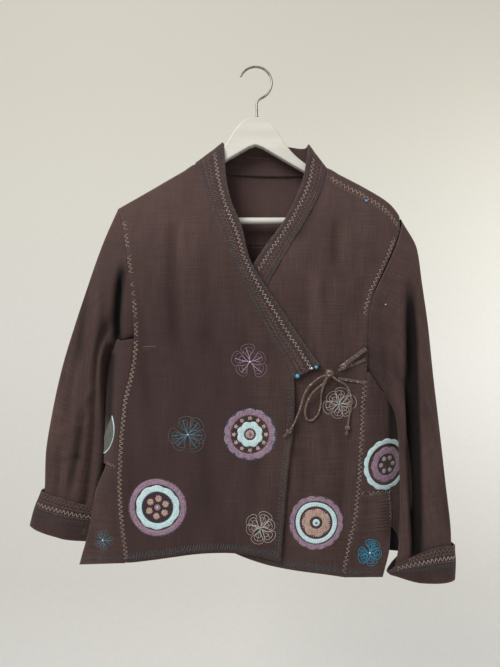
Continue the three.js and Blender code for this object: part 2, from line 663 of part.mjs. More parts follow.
// Ties
function flatTie({ width, depth, route }) {
  const first = knotSeat(route[0], depth);
  const curve = new THREE.CatmullRomCurve3([first, ...route.map((p) => new THREE.Vector3(...p))]);
  const points = grid(10, 2, (along, across) => {
    const centre = curve.getPoint(along);
    const ahead = curve.getTangent(along);
    const sideways = new THREE.Vector3(-ahead.z, 0, ahead.x).normalize();
    return centre.addScaledVector(sideways, width * (across - 0.5)).toArray();
  });
  return wall(points, depth, { outward: -1 });
}

function knotSeat(towards) {
  const centre = new THREE.Vector3(KNOT.x, KNOT.y, KNOT.z);
  const direction = new THREE.Vector3(...towards).sub(centre).normalize();
  return centre.addScaledVector(direction, KNOT.radius + KNOT_GAP);
}

function round(radius, sides) {
  const shape = new THREE.Shape();
  for (let i = 0; i < sides; i += 1) {
    const turn = (2 * Math.PI * i) / sides;
    if (i === 0) shape.moveTo(radius * Math.cos(turn), radius * Math.sin(turn));
    else shape.lineTo(radius * Math.cos(turn), radius * Math.sin(turn));
  }
  shape.closePath();
  return shape;
}

function tube(points, diameter, sides, steps) {
  const extrudePath = new THREE.CatmullRomCurve3(points);
  return new THREE.ExtrudeGeometry(round(diameter / 2, sides), { steps, extrudePath, bevelEnabled: false });
}

function tieCord(route) {
  const points = [knotSeat(route[0]), ...route.map((p) => new THREE.Vector3(...p))];
  return tube(points, TIE_DIAMETER, TIE_SIDES, 28);
}

function tieLoop() {
  const last = TIE_LOOP[TIE_LOOP.length - 1];
  const points = [knotSeat(TIE_LOOP[0]), ...TIE_LOOP.map((p) => new THREE.Vector3(...p)), knotSeat(last)];
  return tube(points, TIE_DIAMETER, TIE_SIDES, 44);
}

// A tie's end knot with its short free end, turned to lie along the tie
function endKnot({ from, to }) {
  const profile = END_KNOT.map(({ at, radius }) => new THREE.Vector2(radius, at));
  const first = END_KNOT[0].at;
  const last = END_KNOT[END_KNOT.length - 1].at;
  const outline = [new THREE.Vector2(0, first), ...profile, new THREE.Vector2(0, last)];
  const geometry = new THREE.LatheGeometry(outline, 10);
  const start = new THREE.Vector3(...from);
  const ahead = new THREE.Vector3(...to).sub(start).normalize();
  geometry.applyQuaternion(new THREE.Quaternion().setFromUnitVectors(new THREE.Vector3(0, 1, 0), ahead));
  return geometry.translate(start.x, start.y, start.z);
}

// Hanger
function hangerArms() {
  const half = (mirror, table) => table.map(({ x, z }) => [mirror * x, z]);
  const outline = (mirror) => {
    const top = half(mirror, WOOD_NECK_TOP);
    const slope = [];
    for (const x of [92, 108, 140, 168, 190, WOOD_END_TOP]) {
      slope.push([mirror * x, crestZ(mirror * x) - CREST_CLEARANCE]);
    }
    const end = half(mirror, [...WOOD_END].reverse());
    const low = half(mirror, [...WOOD_LOW_EDGE].reverse());
    return [...top, ...slope, ...end, ...low];
  };
  const right = outline(1);
  const left = outline(-1).reverse();
  const shape = new THREE.Shape([...right, ...left].map(([x, z]) => new THREE.Vector2(x, z)));
  const geometry = new THREE.ExtrudeGeometry(shape, { depth: WOOD_DEPTH, bevelEnabled: false });
  return geometry.rotateX(Math.PI / 2).translate(0, WOOD_DEPTH / 2, 0);
}

function hangerBar() {
  const geometry = new THREE.CylinderGeometry(BAR.radius, BAR.radius, 2 * BAR.reach, 16);
  return geometry.rotateZ(Math.PI / 2).translate(0, 0, BAR.z);
}

function hangerHook() {
  const centreZ = HOOK.wire / 2 - HOOK.radius;
  const points = [
    new THREE.Vector3(HOOK.stemX, 0, WOOD_TOP_Z + SEAM_GAP),
    new THREE.Vector3(HOOK.stemX, 0, (WOOD_TOP_Z + HOOK.stemZ) / 2),
    new THREE.Vector3(HOOK.stemX, 0, HOOK.stemZ),
    new THREE.Vector3(HOOK.bendX, 0, HOOK.bendZ),
  ];
  const stretches = 12;
  for (let i = 0; i <= stretches; i += 1) {
    const turn = THREE.MathUtils.degToRad(mix(HOOK.first, HOOK.last, i / stretches));
    points.push(new THREE.Vector3(HOOK.radius * Math.cos(turn), 0, centreZ + HOOK.radius * Math.sin(turn)));
  }
  return tube(points, HOOK.wire, 10, 40);
}

// Materials
const COLOUR = { cloth: 0x4b3e3a, tie: 0x6b5c50, wood: 0xe4e2d7, steel: 0x77716a };

function material(colour, roughness, metalness = 0) {
  return new THREE.MeshStandardMaterial({ color: colour, roughness, metalness });
}

const model = new THREE.Group();

function add(name, geometry, finish) {
  const mesh = new THREE.Mesh(geometry, finish);
  mesh.name = name;
  model.add(mesh);
}

const cloth = () => material(COLOUR.cloth, 0.92);
const tie = () => material(COLOUR.tie, 0.9);

add('front_right', frontRight(), cloth());
add('front_left', frontLeft(), cloth());
add('back_yoke', backYoke(), cloth());
add('back_lower', backLower(), cloth());
add('neckband', neckband(), cloth());
for (const side of ['right', 'left']) {
  add(`side_${side}`, sidePiece(side), cloth());
  add(`gore_${side}`, gore(side), cloth());
  add(`sleeve_${side}`, sleeve(side), cloth());
  add(`cuff_${side}`, cuff(side), cloth());
}
for (const flat of FLAT_TIES) add(flat.name, flatTie(flat), tie());
for (const cord of TIE_CORDS) add(cord.name, tieCord(cord.route), tie());
add('tie_loop', tieLoop(), tie());
add('tie_knot', new THREE.SphereGeometry(KNOT.radius, 14, 10).translate(KNOT.x, KNOT.y, KNOT.z), tie());
for (const end of END_KNOTS) add(end.name, endKnot(end), tie());
add('hanger_arms', hangerArms(), material(COLOUR.wood, 0.45));
add('hanger_bar', hangerBar(), material(COLOUR.wood, 0.45));
add('hanger_hook', hangerHook(), material(COLOUR.steel, 0.35, 1));

export default model;
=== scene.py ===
# Short wrap jacket of brown slubbed cloth with sewn flowers and side ties, on a white wooden hanger.
# Sizes here are millimetres in the model's frame: +X wearer's left, -Y front, +Z up, 0 at the hook's crown.
import math

import bpy
import numpy as np
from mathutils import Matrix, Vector
from mathutils.bvhtree import BVHTree


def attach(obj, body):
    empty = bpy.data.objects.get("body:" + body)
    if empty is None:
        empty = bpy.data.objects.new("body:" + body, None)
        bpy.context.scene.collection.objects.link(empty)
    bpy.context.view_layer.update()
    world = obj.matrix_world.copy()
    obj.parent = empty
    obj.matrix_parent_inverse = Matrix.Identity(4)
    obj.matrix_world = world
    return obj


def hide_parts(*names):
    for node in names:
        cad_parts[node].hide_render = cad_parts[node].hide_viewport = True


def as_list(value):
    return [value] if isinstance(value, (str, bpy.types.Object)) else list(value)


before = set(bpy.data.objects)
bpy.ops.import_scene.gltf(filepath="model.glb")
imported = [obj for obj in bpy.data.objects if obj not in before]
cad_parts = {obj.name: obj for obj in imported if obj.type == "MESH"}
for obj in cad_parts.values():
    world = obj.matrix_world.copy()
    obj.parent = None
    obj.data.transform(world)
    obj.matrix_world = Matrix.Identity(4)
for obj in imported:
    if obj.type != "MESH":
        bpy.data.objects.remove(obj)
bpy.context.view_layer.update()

MM = 0.001
BODY = "root"

# Camera at the photograph's place and angle
PHOTO_HEIGHT_PX = 667
FOCAL_PX = 486.5
SENSOR = 36
CAMERA_PLACE = (-8.4, -740, -403.8)


def make_camera():
    data = bpy.data.cameras.new("camera")
    data.sensor_width = SENSOR
    data.lens = SENSOR * FOCAL_PX / PHOTO_HEIGHT_PX
    camera = bpy.data.objects.new("camera", data)
    camera.location = Vector(CAMERA_PLACE) * MM
    camera.rotation_euler = (math.pi / 2, 0, 0)
    bpy.context.scene.collection.objects.link(camera)
    bpy.context.scene.camera = camera


make_camera()


# Tables with named columns, and smooth values between their rows
def table(columns, *rows):
    return dict(zip(columns.split(), np.array(rows, float).T))


def hermite(t, span, start, end, leaving, arriving):
    return (
        (2 * t**3 - 3 * t**2 + 1) * start + (t**3 - 2 * t**2 + t) * span * leaving
        + (3 * t**2 - 2 * t**3) * end + (t**3 - t**2) * span * arriving
    )


def read(rows, key, column, place):
    keys, values = rows[key], rows[column]
    order = np.argsort(keys)
    keys, values = keys[order], values[order]
    span = np.diff(keys)
    slope = np.diff(values) / span
    tangent = np.empty_like(values)
    tangent[0], tangent[-1] = slope[0], slope[-1]
    product = slope[:-1] * slope[1:]
    total = np.where(product > 0, slope[:-1] + slope[1:], 1)
    tangent[1:-1] = np.where(product > 0, 2 * product / total, 0)
    place = np.clip(np.asarray(place, float), keys[0], keys[-1])
    i = np.clip(np.searchsorted(keys, place, side="right") - 1, 0, len(span) - 1)
    t = (place - keys[i]) / span[i]
    return hermite(t, span[i], values[i], values[i + 1], tangent[i], tangent[i + 1])


def numbered(rows):
    count = len(next(iter(rows.values())))
    return {**rows, "row": np.arange(count, dtype=float)}


def mix(a, b, t):
    return a + (b - a) * t


def smooth(t):
    c = np.clip(t, 0, 1)
    return c * c * (3 - 2 * c)


def unit(vectors):
    return vectors / np.linalg.norm(vectors, axis=-1, keepdims=True)


def running_length(line):
    return np.concatenate([[0], np.cumsum(np.linalg.norm(np.diff(line, axis=0), axis=1))])


# Sizes shared with the solids
SEAM_GAP = 0.06
CREST_RADIUS = 9.5
CREST = table(
    "x z", (-240, -234), (-209, -216), (-160, -188), (-110, -159), (-88, -147), (106, -153), (128, -164),
    (168, -185), (201, -206), (214, -221), (224, -240),
)
FRONT_DEPTH = {"right": 31, "left": 24}
BACK_DEPTH = 22
DEPTH_REACH = 60
SIDE_SEAM = {
    "right": table(
        "z x", (-216, -207), (-250, -197), (-305, -188), (-361, -181), (-412, -178), (-447, -181),
        (-505, -194), (-568, -200), (-615, -202), (-686, -198), (-738, -191),
    ),
    "left": table(
        "z x", (-240, 219), (-256, 215), (-288, 202), (-319, 187), (-351, 173), (-388, 166), (-462, 164),
        (-525, 160), (-617, 155), (-664, 151), (-711, 141), (-763, 131),
    ),
}
CENTRE_EDGE = {
    "right": table(
        "z x", (-146, -89), (-190, -73), (-235, -57), (-276, -39), (-339, -11), (-406, 22), (-470, 56),
        (-510, 57), (-608, 47), (-740, 36),
    ),
    "left": table(
        "z x", (-153, 106), (-185, 99), (-224, 80), (-270, 52), (-329, 18), (-387, -14), (-428, -35),
        (-470, -56), (-510, -57), (-722, -46),
    ),
}
BAND_COLUMNS = "seam_x seam_z edge_x edge_z back"
BAND_FRONT_RIGHT = table(
    BAND_COLUMNS, (56, -470, 94, -450, 0), (37, -435, 68, -414, 0), (11, -384, 39, -370, 0),
    (-11, -339, 11, -329, 0.3), (-28, -300, -9, -293, 0.6), (-49, -254, -21, -245, 0),
    (-65, -213, -36, -208, -2), (-77, -180, -43, -176, -3), (-86, -158, -46, -146, -2),
    (-88.5, -149, -48, -123, -1),
)
BAND_BACK = table(
    "seam_x seam_z edge_x edge_z seam_y edge_y", (-89, -144.5, -49, -114, 0, 0),
    (-88, -149, -47, -115, 8.5, 9.5), (-76, -152, -40, -113, 15, 16), (-44, -154, -28, -110, 20.5, 19.5),
    (5, -156, 10, -109, 22, 20.5), (56, -157, 50, -113, 20.5, 19.5), (92, -157, 70, -117, 15, 16),
    (105, -155, 78, -118, 8.5, 9.5), (106, -151.5, 80, -117, 0, 0),
)
BAND_FRONT_LEFT = table(
    BAND_COLUMNS, (105.5, -157, 79, -125, -1), (103.5, -168, 76, -146, -1), (98, -188, 70, -174, -1),
    (86, -214, 59, -203, -0.5), (66, -249, 42, -236, 0), (40, -291, 16, -272, 0), (18, -329, -8, -308, 0),
    (-14, -387, -45, -368, 0), (-35, -428, -67, -409, 0), (-56, -470, -88, -450, 0),
)
HEM_BOW = {"right": 14, "left": -9, "back": 12}
HEM_BACK_Z = -738
YOKE_Z = -268
BODY_FOLD = {
    "right": table(
        "z x y bend", (-415, -228, 15, 3), (-425, -230, 16, 3), (-450, -234, 17, 2.6),
        (-480, -236, 17, 2.2), (-600, -238.5, 18, 2.2),
        (-640, -242, 18, 2.2), (-742, -242, 18, 2.2),
    ),
    "left": table(
        "z x y bend", (-490, 212, 6, 2.3), (-510, 219, 8, 2.3), (-555, 221, 8, 2.3), (-641, 222, 8, 2.3),
        (-742, 223, 8, 2.3),
    ),
}
GORE_EDGE = {
    "right": table("z x", (-600, -225), (-634, -236), (-690, -246), (-746, -261)),
    "left": table("z x", (-641, 205), (-696, 204), (-712, 202), (-736, 197), (-766, 189)),
}
FOLD_Y = -3
GORE_TOP_Z = {"right": -600, "left": -641}
VENT_TOP_Z = {"right": -600, "left": -690}
VENT_TURN = 42
GORE_HEM_Z = {"right": (-739, -745), "left": (-763, -766)}
REAR_HEM_Z = -738
TUCKS = {"count": 10, "from": 0.07, "to": 0.45, "height": 1.4}
SLEEVE_COLUMNS = "outer_x outer_z inner_x inner_z half y"
SLEEVE = {
    "right": numbered(table(
        SLEEVE_COLUMNS, (-207.5, -215, -178.6, -411, 15, -2), (-228, -262, -202, -415, 16, -1),
        (-252, -328, -222, -424, 17, 0), (-274, -394, -229, -456, 17, 1), (-294, -458, -229, -507, 16, 3),
        (-309, -524, -230, -560, 15, 4), (-320, -590, -235, -615, 14, 6), (-323, -646, -245, -670, 13, 8),
        (-338, -690, -253, -712, 13, 8),
    )),
    "left": numbered(table(
        SLEEVE_COLUMNS, (219.6, -231, 164.6, -461, 14, -2), (243, -277, 180, -478, 15, -5),
        (248, -324, 197, -499, 14, -9), (256, -392, 211, -530, 13, -13), (263, -466, 214, -566, 13, -15),
        (272, -545, 215, -608, 13, -16), (281, -624, 216, -655, 13, -16), (289, -700, 214, -718, 14, -16),
        (290, -752, 209, -750, 13, -16),
    )),
}
SLEEVE_FOLD = {
    "right": [(0.62, 7, 0.16, 0.1, 0.95), (-0.35, 4, 0.22, 0.35, 0.9)],
    "left": [(0.45, 9, 0.14, 0.16, 0.98), (-0.4, 3, 0.25, 0.3, 0.9)],
}
CUFF = {
    "right": numbered(table(
        SLEEVE_COLUMNS, (-327, -644, -240, -672, 16.2, 8), (-338, -670, -244, -694, 16.6, 8),
        (-345, -696, -249, -722, 16.2, 8),
    )),
    "left": numbered(table(
        SLEEVE_COLUMNS, (294, -717, 197, -755, 16.8, -16), (296, -741, 196, -757, 17, -16),
        (295, -766, 199, -760, 16.8, -16),
    )),
}
CUFF_BOW = {"right": (3, -2), "left": (15, -4)}
CUFF_REAR_DROP = {"right": 11, "left": 2}
SEAM_TOP_Z = {"right": -216, "left": -252}
CENTRE_TOP_Z = {"right": -146, "left": -167}
SEAM_HEM_Z = {"right": -738, "left": -763}
CENTRE_HEM_Z = {"right": -737, "left": -720}
CREST_TURN = 1.35
SHOULDER_SEAM_DROP = (14, 22)
BACK_SHOULDER = 6
BACK_NECK = 8
NECK_FADE = 90
NECK_LAP = (1.9, 1.8)
ARMHOLE_FADE = 0.2
SQUARENESS = 0.7
UNDERARM_GAP = 0.1
UNDERARM_RISE = 8

# Shade painted on the side pieces beside the sleeves, nearly black in the photo. It stays under any light.
SIDE_SHADE = {"right": (205, 12, -430, -548), "left": (196, 9, -500, -592)}
SIDE_SHADE_FADES = (8, 25)
SIDE_SHADE_SHARE = 0.45

# Cloth as drawn here
CLOTH = 1.2
BAND_CLOTH = 2.4
CUFF_CLOTH = 2.2

# Creases: a line from (x1, z1) to (x2, z2), bent aside by bow, with its half width and its height outwards
CREASE_COLUMNS = "x1 z1 x2 z2 bow width height"
FRONT_CREASES = {
    "right": table(
        CREASE_COLUMNS,
        (-120, -200, -112, -460, 6, 11, -2.6), (-150, -230, -146, -420, -4, 9, 1.2),
        (-104, -215, -96, -380, 5, 9, 1.3), (-72, -250, -60, -470, 8, 13, -1.4),
        (-165, -330, -150, -560, 5, 10, -1.5), (-40, -330, -30, -560, -6, 12, 1.2),
        (-120, -470, -128, -690, 6, 15, 1.2), (-85, -520, -70, -700, -5, 13, -1.3),
        (0, -470, 8, -690, 4, 14, -1.1), (-30, -600, -36, -724, 3, 10, 1.1),
        (-180, -560, -170, -720, 4, 9, -1.3), (28, -520, 22, -720, 2, 8, 0.9),
        (-168, -428, -142, -424, 1, 3, 1.2),
    ),
    "left": table(
        CREASE_COLUMNS,
        (104, -168, 56, -286, 0, 10, -2.2), (119, -222, 116, -320, 0, 8, -2), (98, -300, 97, -440, 2, 8, 1.8),
        (150, -235, 140, -400, -4, 9, -1.4), (94, -300, 96, -450, 4, 8, 1.2),
        (60, -300, 74, -440, -5, 12, -1.1), (165, -300, 150, -440, 3, 7, -1.2),
        (98, -500, 96, -700, 5, 12, 1.2), (126, -480, 122, -720, -5, 10, -1.4),
        (74, -530, 70, -720, 4, 10, -1.2), (148, -520, 140, -740, 3, 7, 1.1),
    ),
}
BACK_CREASES = table(
    CREASE_COLUMNS,
    (-150, -240, -140, -520, 7, 13, -1.6), (-105, -300, -95, -640, -6, 15, 1.4),
    (-60, -280, -50, -560, 5, 13, -1.4), (-10, -300, 0, -700, -6, 18, 1.3),
    (45, -290, 40, -590, 6, 14, -1.5), (90, -270, 84, -610, -5, 13, 1.3),
    (130, -260, 120, -520, 5, 11, -1.6), (160, -330, 150, -560, 4, 10, 1.2),
    (-165, -480, -160, -715, 5, 12, 1.3), (-120, -560, -128, -720, 4, 11, -1.4),
    (-40, -600, -46, -724, 3, 13, -1.2), (70, -580, 76, -724, -4, 13, -1.3),
    (120, -600, 118, -724, 4, 11, 1.2), (-185, -430, -60, -400, 8, 7, 0.9),
    (165, -470, 60, -430, -8, 7, 0.9),
)
SLEEVE_CREASES = {
    ("right", "front"): table(
        CREASE_COLUMNS,
        (-228, -300, -237, -560, 3, 7, 3.4), (-193, -290, -207, -447, 4, 7, -13),
        (-246, -290, -262, -470, 4, 8, -3.2), (-256, -500, -290, -668, -4, 6.5, -4.2),
        (-236, -480, -262, -520, 3, 5, 1.6), (-240, -540, -300, -560, 7, 6, 1.5),
        (-250, -590, -300, -600, 4, 5, -1.4), (-262, -620, -284, -700, 3, 6, 1.4),
        (-300, -560, -306, -680, -3, 6, -1.5),
    ),
    ("right", "back"): table(
        CREASE_COLUMNS,
        (-205, -270, -232, -440, 6, 10, -3), (-228, -290, -256, -450, 5, 9, 2.2),
        (-250, -440, -284, -560, -5, 8, -2), (-238, -520, -292, -545, 5, 6, 1.4),
        (-246, -600, -300, -616, 4, 6, -1.4), (-272, -600, -290, -700, 3, 7, 1.4),
    ),
    ("left", "front"): table(
        CREASE_COLUMNS,
        (216, -270, 224, -560, 4, 6, 2.4), (226, -300, 235, -790, 2, 5.5, -14),
        (233, -300, 243, -790, 2, 5.5, -14),
        (250, -330, 262, -680, 3, 8, 1.6), (190, -380, 206, -540, 5, 8, -1.8),
        (214, -560, 236, -600, 4, 6, -1.5), (222, -620, 232, -735, -3, 7, 1.6),
        (270, -560, 282, -720, -3, 7, -1.6), (230, -500, 262, -520, 3, 6, 1.1),
    ),
    ("left", "back"): table(
        CREASE_COLUMNS,
        (205, -290, 222, -520, 5, 10, -2.6), (228, -300, 240, -560, 4, 9, 2),
        (214, -540, 262, -566, 5, 6, 1.4), (240, -560, 250, -730, 4, 9, -2.2),
        (270, -580, 278, -740, -4, 8, 1.6),
    ),
}


FOLD_STRENGTH = 1.5


def creases(rows, x, z):
    total = np.zeros_like(x)
    for x1, z1, x2, z2, bow, width, height in zip(*(rows[name] for name in CREASE_COLUMNS.split())):
        run, rise = x2 - x1, z2 - z1
        length = math.hypot(run, rise)
        along = ((x - x1) * run + (z - z1) * rise) / length**2
        aside = ((x - x1) * rise - (z - z1) * run) / length - bow * 4 * along * (1 - along)
        ends = smooth(along / 0.3) * smooth((1 - along) / 0.3)
        total += height * ends * np.exp(-((aside / width) ** 2))
    return total


# Soft unevenness: random heights on a lattice, joined smoothly
LATTICE = 64


def undulation(x, z, pitch_x, pitch_z, seed):
    heights = np.random.default_rng(seed).uniform(-1, 1, (LATTICE, LATTICE))
    a, b = x / pitch_x + 31.7, z / pitch_z + 17.3
    i, j = np.floor(a).astype(int), np.floor(b).astype(int)
    s, t = smooth(a - i), smooth(b - j)
    i, j = i % LATTICE, j % LATTICE
    i2, j2 = (i + 1) % LATTICE, (j + 1) % LATTICE
    return mix(mix(heights[i, j], heights[i2, j], s), mix(heights[i, j2], heights[i2, j2], s), t)


SHALLOW_SHADE, SHALLOW_DEPTH = 0.35, 3
DEEP_SHADE, DEEP_START, DEEP_DEPTH = 0.65, 2.5, 4


def fold_shade(rows, points):
    """How much shade is painted into troughs: a little in shallow ones, most in deep ones."""
    depth = -creases(rows, points[..., 0], points[..., 2])
    shallow, deep = smooth(depth / SHALLOW_DEPTH), smooth((depth - DEEP_START) / DEEP_DEPTH)
    return SHALLOW_SHADE * shallow + DEEP_SHADE * deep


def slack(x, z, seed):
    return 0.55 * undulation(x, z, 34, 90, seed) + 0.25 * undulation(x, z, 15, 26, seed + 1)


# Layers of the hanging cloth
def crest_z(x):
    return read(CREST, "x", "z", x)


def layer_depth(below, full):
    near = np.sqrt(np.clip(CREST_RADIUS**2 - (CREST_RADIUS - below) ** 2, 0, None))
    reach = 1 - np.exp(-np.clip(below - CREST_RADIUS, 0, None) / DEPTH_REACH)
    far = CREST_RADIUS + (full - CREST_RADIUS) * reach
    return np.where(below <= 0, 0, np.where(below < CREST_RADIUS, near, far))


def seam_x(side, z):
    return read(SIDE_SEAM[side], "z", "x", z)


def centre_x(side, z):
    return read(CENTRE_EDGE[side], "z", "x", z)


def pucker(distance, along, depth=1.1, reach=4, ripple=0.35):
    groove = -depth * np.exp(-((distance / reach) ** 2))
    near = np.exp(-((distance / (3 * reach)) ** 2))
    return groove + ripple * np.sin(along / 1.9) * near * np.sin(along / 7.3)


def front_relief(side, x, z):
    fade = smooth((crest_z(x) - z - 6) / 30)
    seam = pucker(x - seam_x(side, z), z)
    folds = creases(FRONT_CREASES[side], x, z) * FOLD_STRENGTH
    return (folds + slack(x, z, 11 if side == "right" else 21) + seam) * fade


def back_relief(x, z):
    fade = smooth((crest_z(x) - z - 10) / 30)
    seams = pucker(x - seam_x("right", z), z) + pucker(x - seam_x("left", z), z) + pucker(z - YOKE_Z, x)
    return (creases(BACK_CREASES, x, z) * FOLD_STRENGTH + slack(x, z, 31) + seams) * fade


def front_y(side, x, z):
    return -layer_depth(crest_z(x) - z, FRONT_DEPTH[side]) - front_relief(side, x, z)


def back_y(x, z):
    return layer_depth(crest_z(x) - z, BACK_DEPTH) + back_relief(x, z)


def stack(x, y, z):
    x, y, z = np.broadcast_arrays(x, y, z)
    return np.stack([x, y, z], axis=-1)


def grid(rows, columns):
    return np.meshgrid(np.linspace(0, 1, rows + 1), np.linspace(0, 1, columns + 1), indexing="ij")


# Meshes
def new_object(name, points, faces, material, uv=None, marks=None):
    mesh = bpy.data.meshes.new(name)
    mesh.vertices.add(len(points))
    mesh.vertices.foreach_set("co", (np.asarray(points, float) * MM).astype(np.float32).ravel())
    sides = faces.shape[1]
    mesh.loops.add(faces.size)
    mesh.loops.foreach_set("vertex_index", faces.astype(np.int32).ravel())
    mesh.polygons.add(len(faces))
    mesh.polygons.foreach_set("loop_start", np.arange(0, faces.size, sides, dtype=np.int32))
    mesh.update(calc_edges=True)
    mesh.polygons.foreach_set("use_smooth", np.ones(len(faces), bool))
    if uv is not None:
        layer = mesh.uv_layers.new(name="cut")
        layer.data.foreach_set("uv", (uv[faces.ravel()] * MM).astype(np.float32).ravel())
    for mark, values in (marks or {}).items():
        attribute = mesh.attributes.new(mark, "FLOAT", "POINT")
        attribute.data.foreach_set("value", values.astype(np.float32))
    piece = bpy.data.objects.new(name, mesh)
    bpy.context.scene.collection.objects.link(piece)
    mesh.materials.append(material)
    return piece


def surface_normals(points, around, outward):
    if around:
        across = np.roll(points, -1, 1) - np.roll(points, 1, 1)
    else:
        across = np.gradient(points, axis=1)
    normals = np.cross(across, np.gradient(points, axis=0)) * outward
    return normals / np.maximum(np.linalg.norm(normals, axis=2, keepdims=True), 1e-9)


def lengths(points, axis):
    steps = np.linalg.norm(np.diff(points, axis=axis), axis=2)
    start = np.zeros_like(np.take(steps, [0], axis=axis))
    return np.cumsum(np.concatenate([start, steps], axis=axis), axis=axis)


def shell(
    name, points, thickness, material, outward=1, around=False, keep=None, out=None, straight=False,
    painted_shade=None,
):
    """A thin cloth wall on a grid of points: two skins joined along every free edge."""
    rows, columns = points.shape[:2]
    normals = surface_normals(points, around, outward)
    lift = 0 if out is None else out[..., None]
    skins = [points + normals * (thickness / 2 + lift), points - normals * thickness / 2]
    u, v = lengths(points, 1), lengths(points, 0)
    u_mid = u - u[:, columns // 2:columns // 2 + 1]
    v_mean = np.broadcast_to(v.mean(1, keepdims=True), v.shape)
    edge = np.minimum(v, v[-1:] - v)
    if not around:
        edge = np.minimum(edge, np.minimum(u, u[:, -1:] - u))
    cells = np.ones((rows - 1, columns if around else columns - 1), bool) if keep is None else keep
    number = np.arange(rows * columns).reshape(rows, columns)
    right = np.roll(number, -1, 1) if around else number[:, 1:]
    left = number if around else number[:, :-1]
    a, b, c, d = left[:-1], left[1:], right[1:], right[:-1]
    quads = np.stack([a, b, c, d], -1)
    outer = quads[cells] if outward < 0 else quads[cells][:, ::-1]
    below = rows * columns
    inner = outer[:, ::-1] + below
    rims = []
    padded_cells = np.zeros((rows + 1, cells.shape[1] + 2), bool)
    padded_cells[1:-1, 1:-1] = cells
    if around:
        padded_cells[1:-1, 0], padded_cells[1:-1, -1] = cells[:, -1], cells[:, 0]
    middle = padded_cells[1:-1, 1:-1]
    for other, first, second in [
        (padded_cells[:-2, 1:-1], d, a), (padded_cells[2:, 1:-1], b, c),
        (padded_cells[1:-1, :-2], a, b), (padded_cells[1:-1, 2:], c, d),
    ]:
        free = middle & ~other
        p, q = first[free], second[free]
        rim = np.stack([q, p, p + below, q + below], -1)
        rims.append(rim if outward < 0 else rim[:, ::-1])
    faces = np.concatenate([outer, inner, *rims])
    if straight:
        u_mid, v_mean = points[..., 0] - points[..., 1] * 0.5, -points[..., 2]
    uv = np.stack([u_mid.ravel(), -v_mean.ravel()], -1)
    used = np.unique(faces)
    renumber = np.zeros(2 * below, int)
    renumber[used] = np.arange(len(used))
    positions = np.concatenate([skins[0].reshape(-1, 3), skins[1].reshape(-1, 3)])[used]
    both = np.concatenate([uv, uv])[used]
    # Painted shade at each point, kept as a mark for the cloth's colour.
    deep = np.zeros(below) if painted_shade is None else painted_shade.ravel()
    marks = {
        "edge": np.concatenate([edge.ravel(), edge.ravel()])[used],
        "inside": (np.arange(2 * below) >= below)[used],
        "painted_shade": np.concatenate([deep, deep])[used],
    }
    return new_object(name, positions, renumber[faces], material, both, marks)


# Materials
class Nodes:
    """A material's node tree, with short calls for its nodes and links."""

    def __init__(self, name):
        self.material = bpy.data.materials.new(name)
        self.material.use_nodes = True
        self.tree = self.material.node_tree
        self.shader = self.tree.nodes["Principled BSDF"]

    def add(self, kind, inputs=(), **settings):
        node = self.tree.nodes.new(kind)
        for name, value in settings.items():
            setattr(node, name, value)
        for socket, value in dict(inputs).items():
            self.put(node.inputs[socket], value)
        return node

    def put(self, socket, value):
        if isinstance(value, bpy.types.NodeSocket):
            self.tree.links.new(value, socket)
        else:
            socket.default_value = value

    def shade(self, **inputs):
        for name, value in inputs.items():
            self.put(self.shader.inputs[name.replace("_", " ")], value)

    def math(self, operation, first, second=0.0):
        node = self.add("ShaderNodeMath", {0: first, 1: second}, operation=operation)
        return node.outputs[0]

    def product(self, first, second):
        return self.math("MULTIPLY", first, second)

    def mapped(self, source, scale):
        mapping = self.add("ShaderNodeMapping", {"Vector": source, "Scale": scale})
        return mapping.outputs[0]

    def noise(self, vector, scale=1.0, detail=2.0, roughness=0.5):
        node = self.add(
            "ShaderNodeTexNoise",
            {"Vector": vector, "Scale": scale, "Detail": detail, "Roughness": roughness},
        )
        return node.outputs["Fac"]

    def spread(self, value, low, high, to_low=0.0, to_high=1.0):
        node = self.add(
            "ShaderNodeMapRange",
            {"Value": value, "From Min": low, "From Max": high, "To Min": to_low, "To Max": to_high},
        )
        return node.outputs[0]

    def blend(self, share, first, second):
        node = self.add("ShaderNodeMix", data_type="RGBA", blend_type="MIX")
        self.put(node.inputs[0], share)
        self.put(node.inputs[6], first)
        self.put(node.inputs[7], second)
        return node.outputs[2]

    def bump(self, height, distance, strength=1.0, normal=None):
        inputs = {"Height": height, "Distance": distance, "Strength": strength}
        if normal is not None:
            inputs["Normal"] = normal
        return self.add("ShaderNodeBump", inputs).outputs[0]

    def uv(self):
        return self.add("ShaderNodeTexCoord").outputs["UV"]

    def place(self):
        return self.add("ShaderNodeTexCoord").outputs["Object"]

    def mark(self, name):
        return self.add("ShaderNodeAttribute", attribute_name=name).outputs["Fac"]


def linear(*srgb):
    def one(c):
        c /= 255
        return c / 12.92 if c <= 0.04045 else ((c + 0.055) / 1.055) ** 2.4
    return (*[one(c) for c in srgb], 1.0)


YARN_PITCH = 0.00085
# Navy lining colour darkened to near black: partly the lining, partly painted shade inside the openings.
LINING_AND_PAINTED_SHADE = linear(22, 27, 34)
# Near-black painted shade for deep crease troughs and for the side pieces beside the sleeves.
PAINTED_SHADE_COLOUR = linear(14, 11, 11)


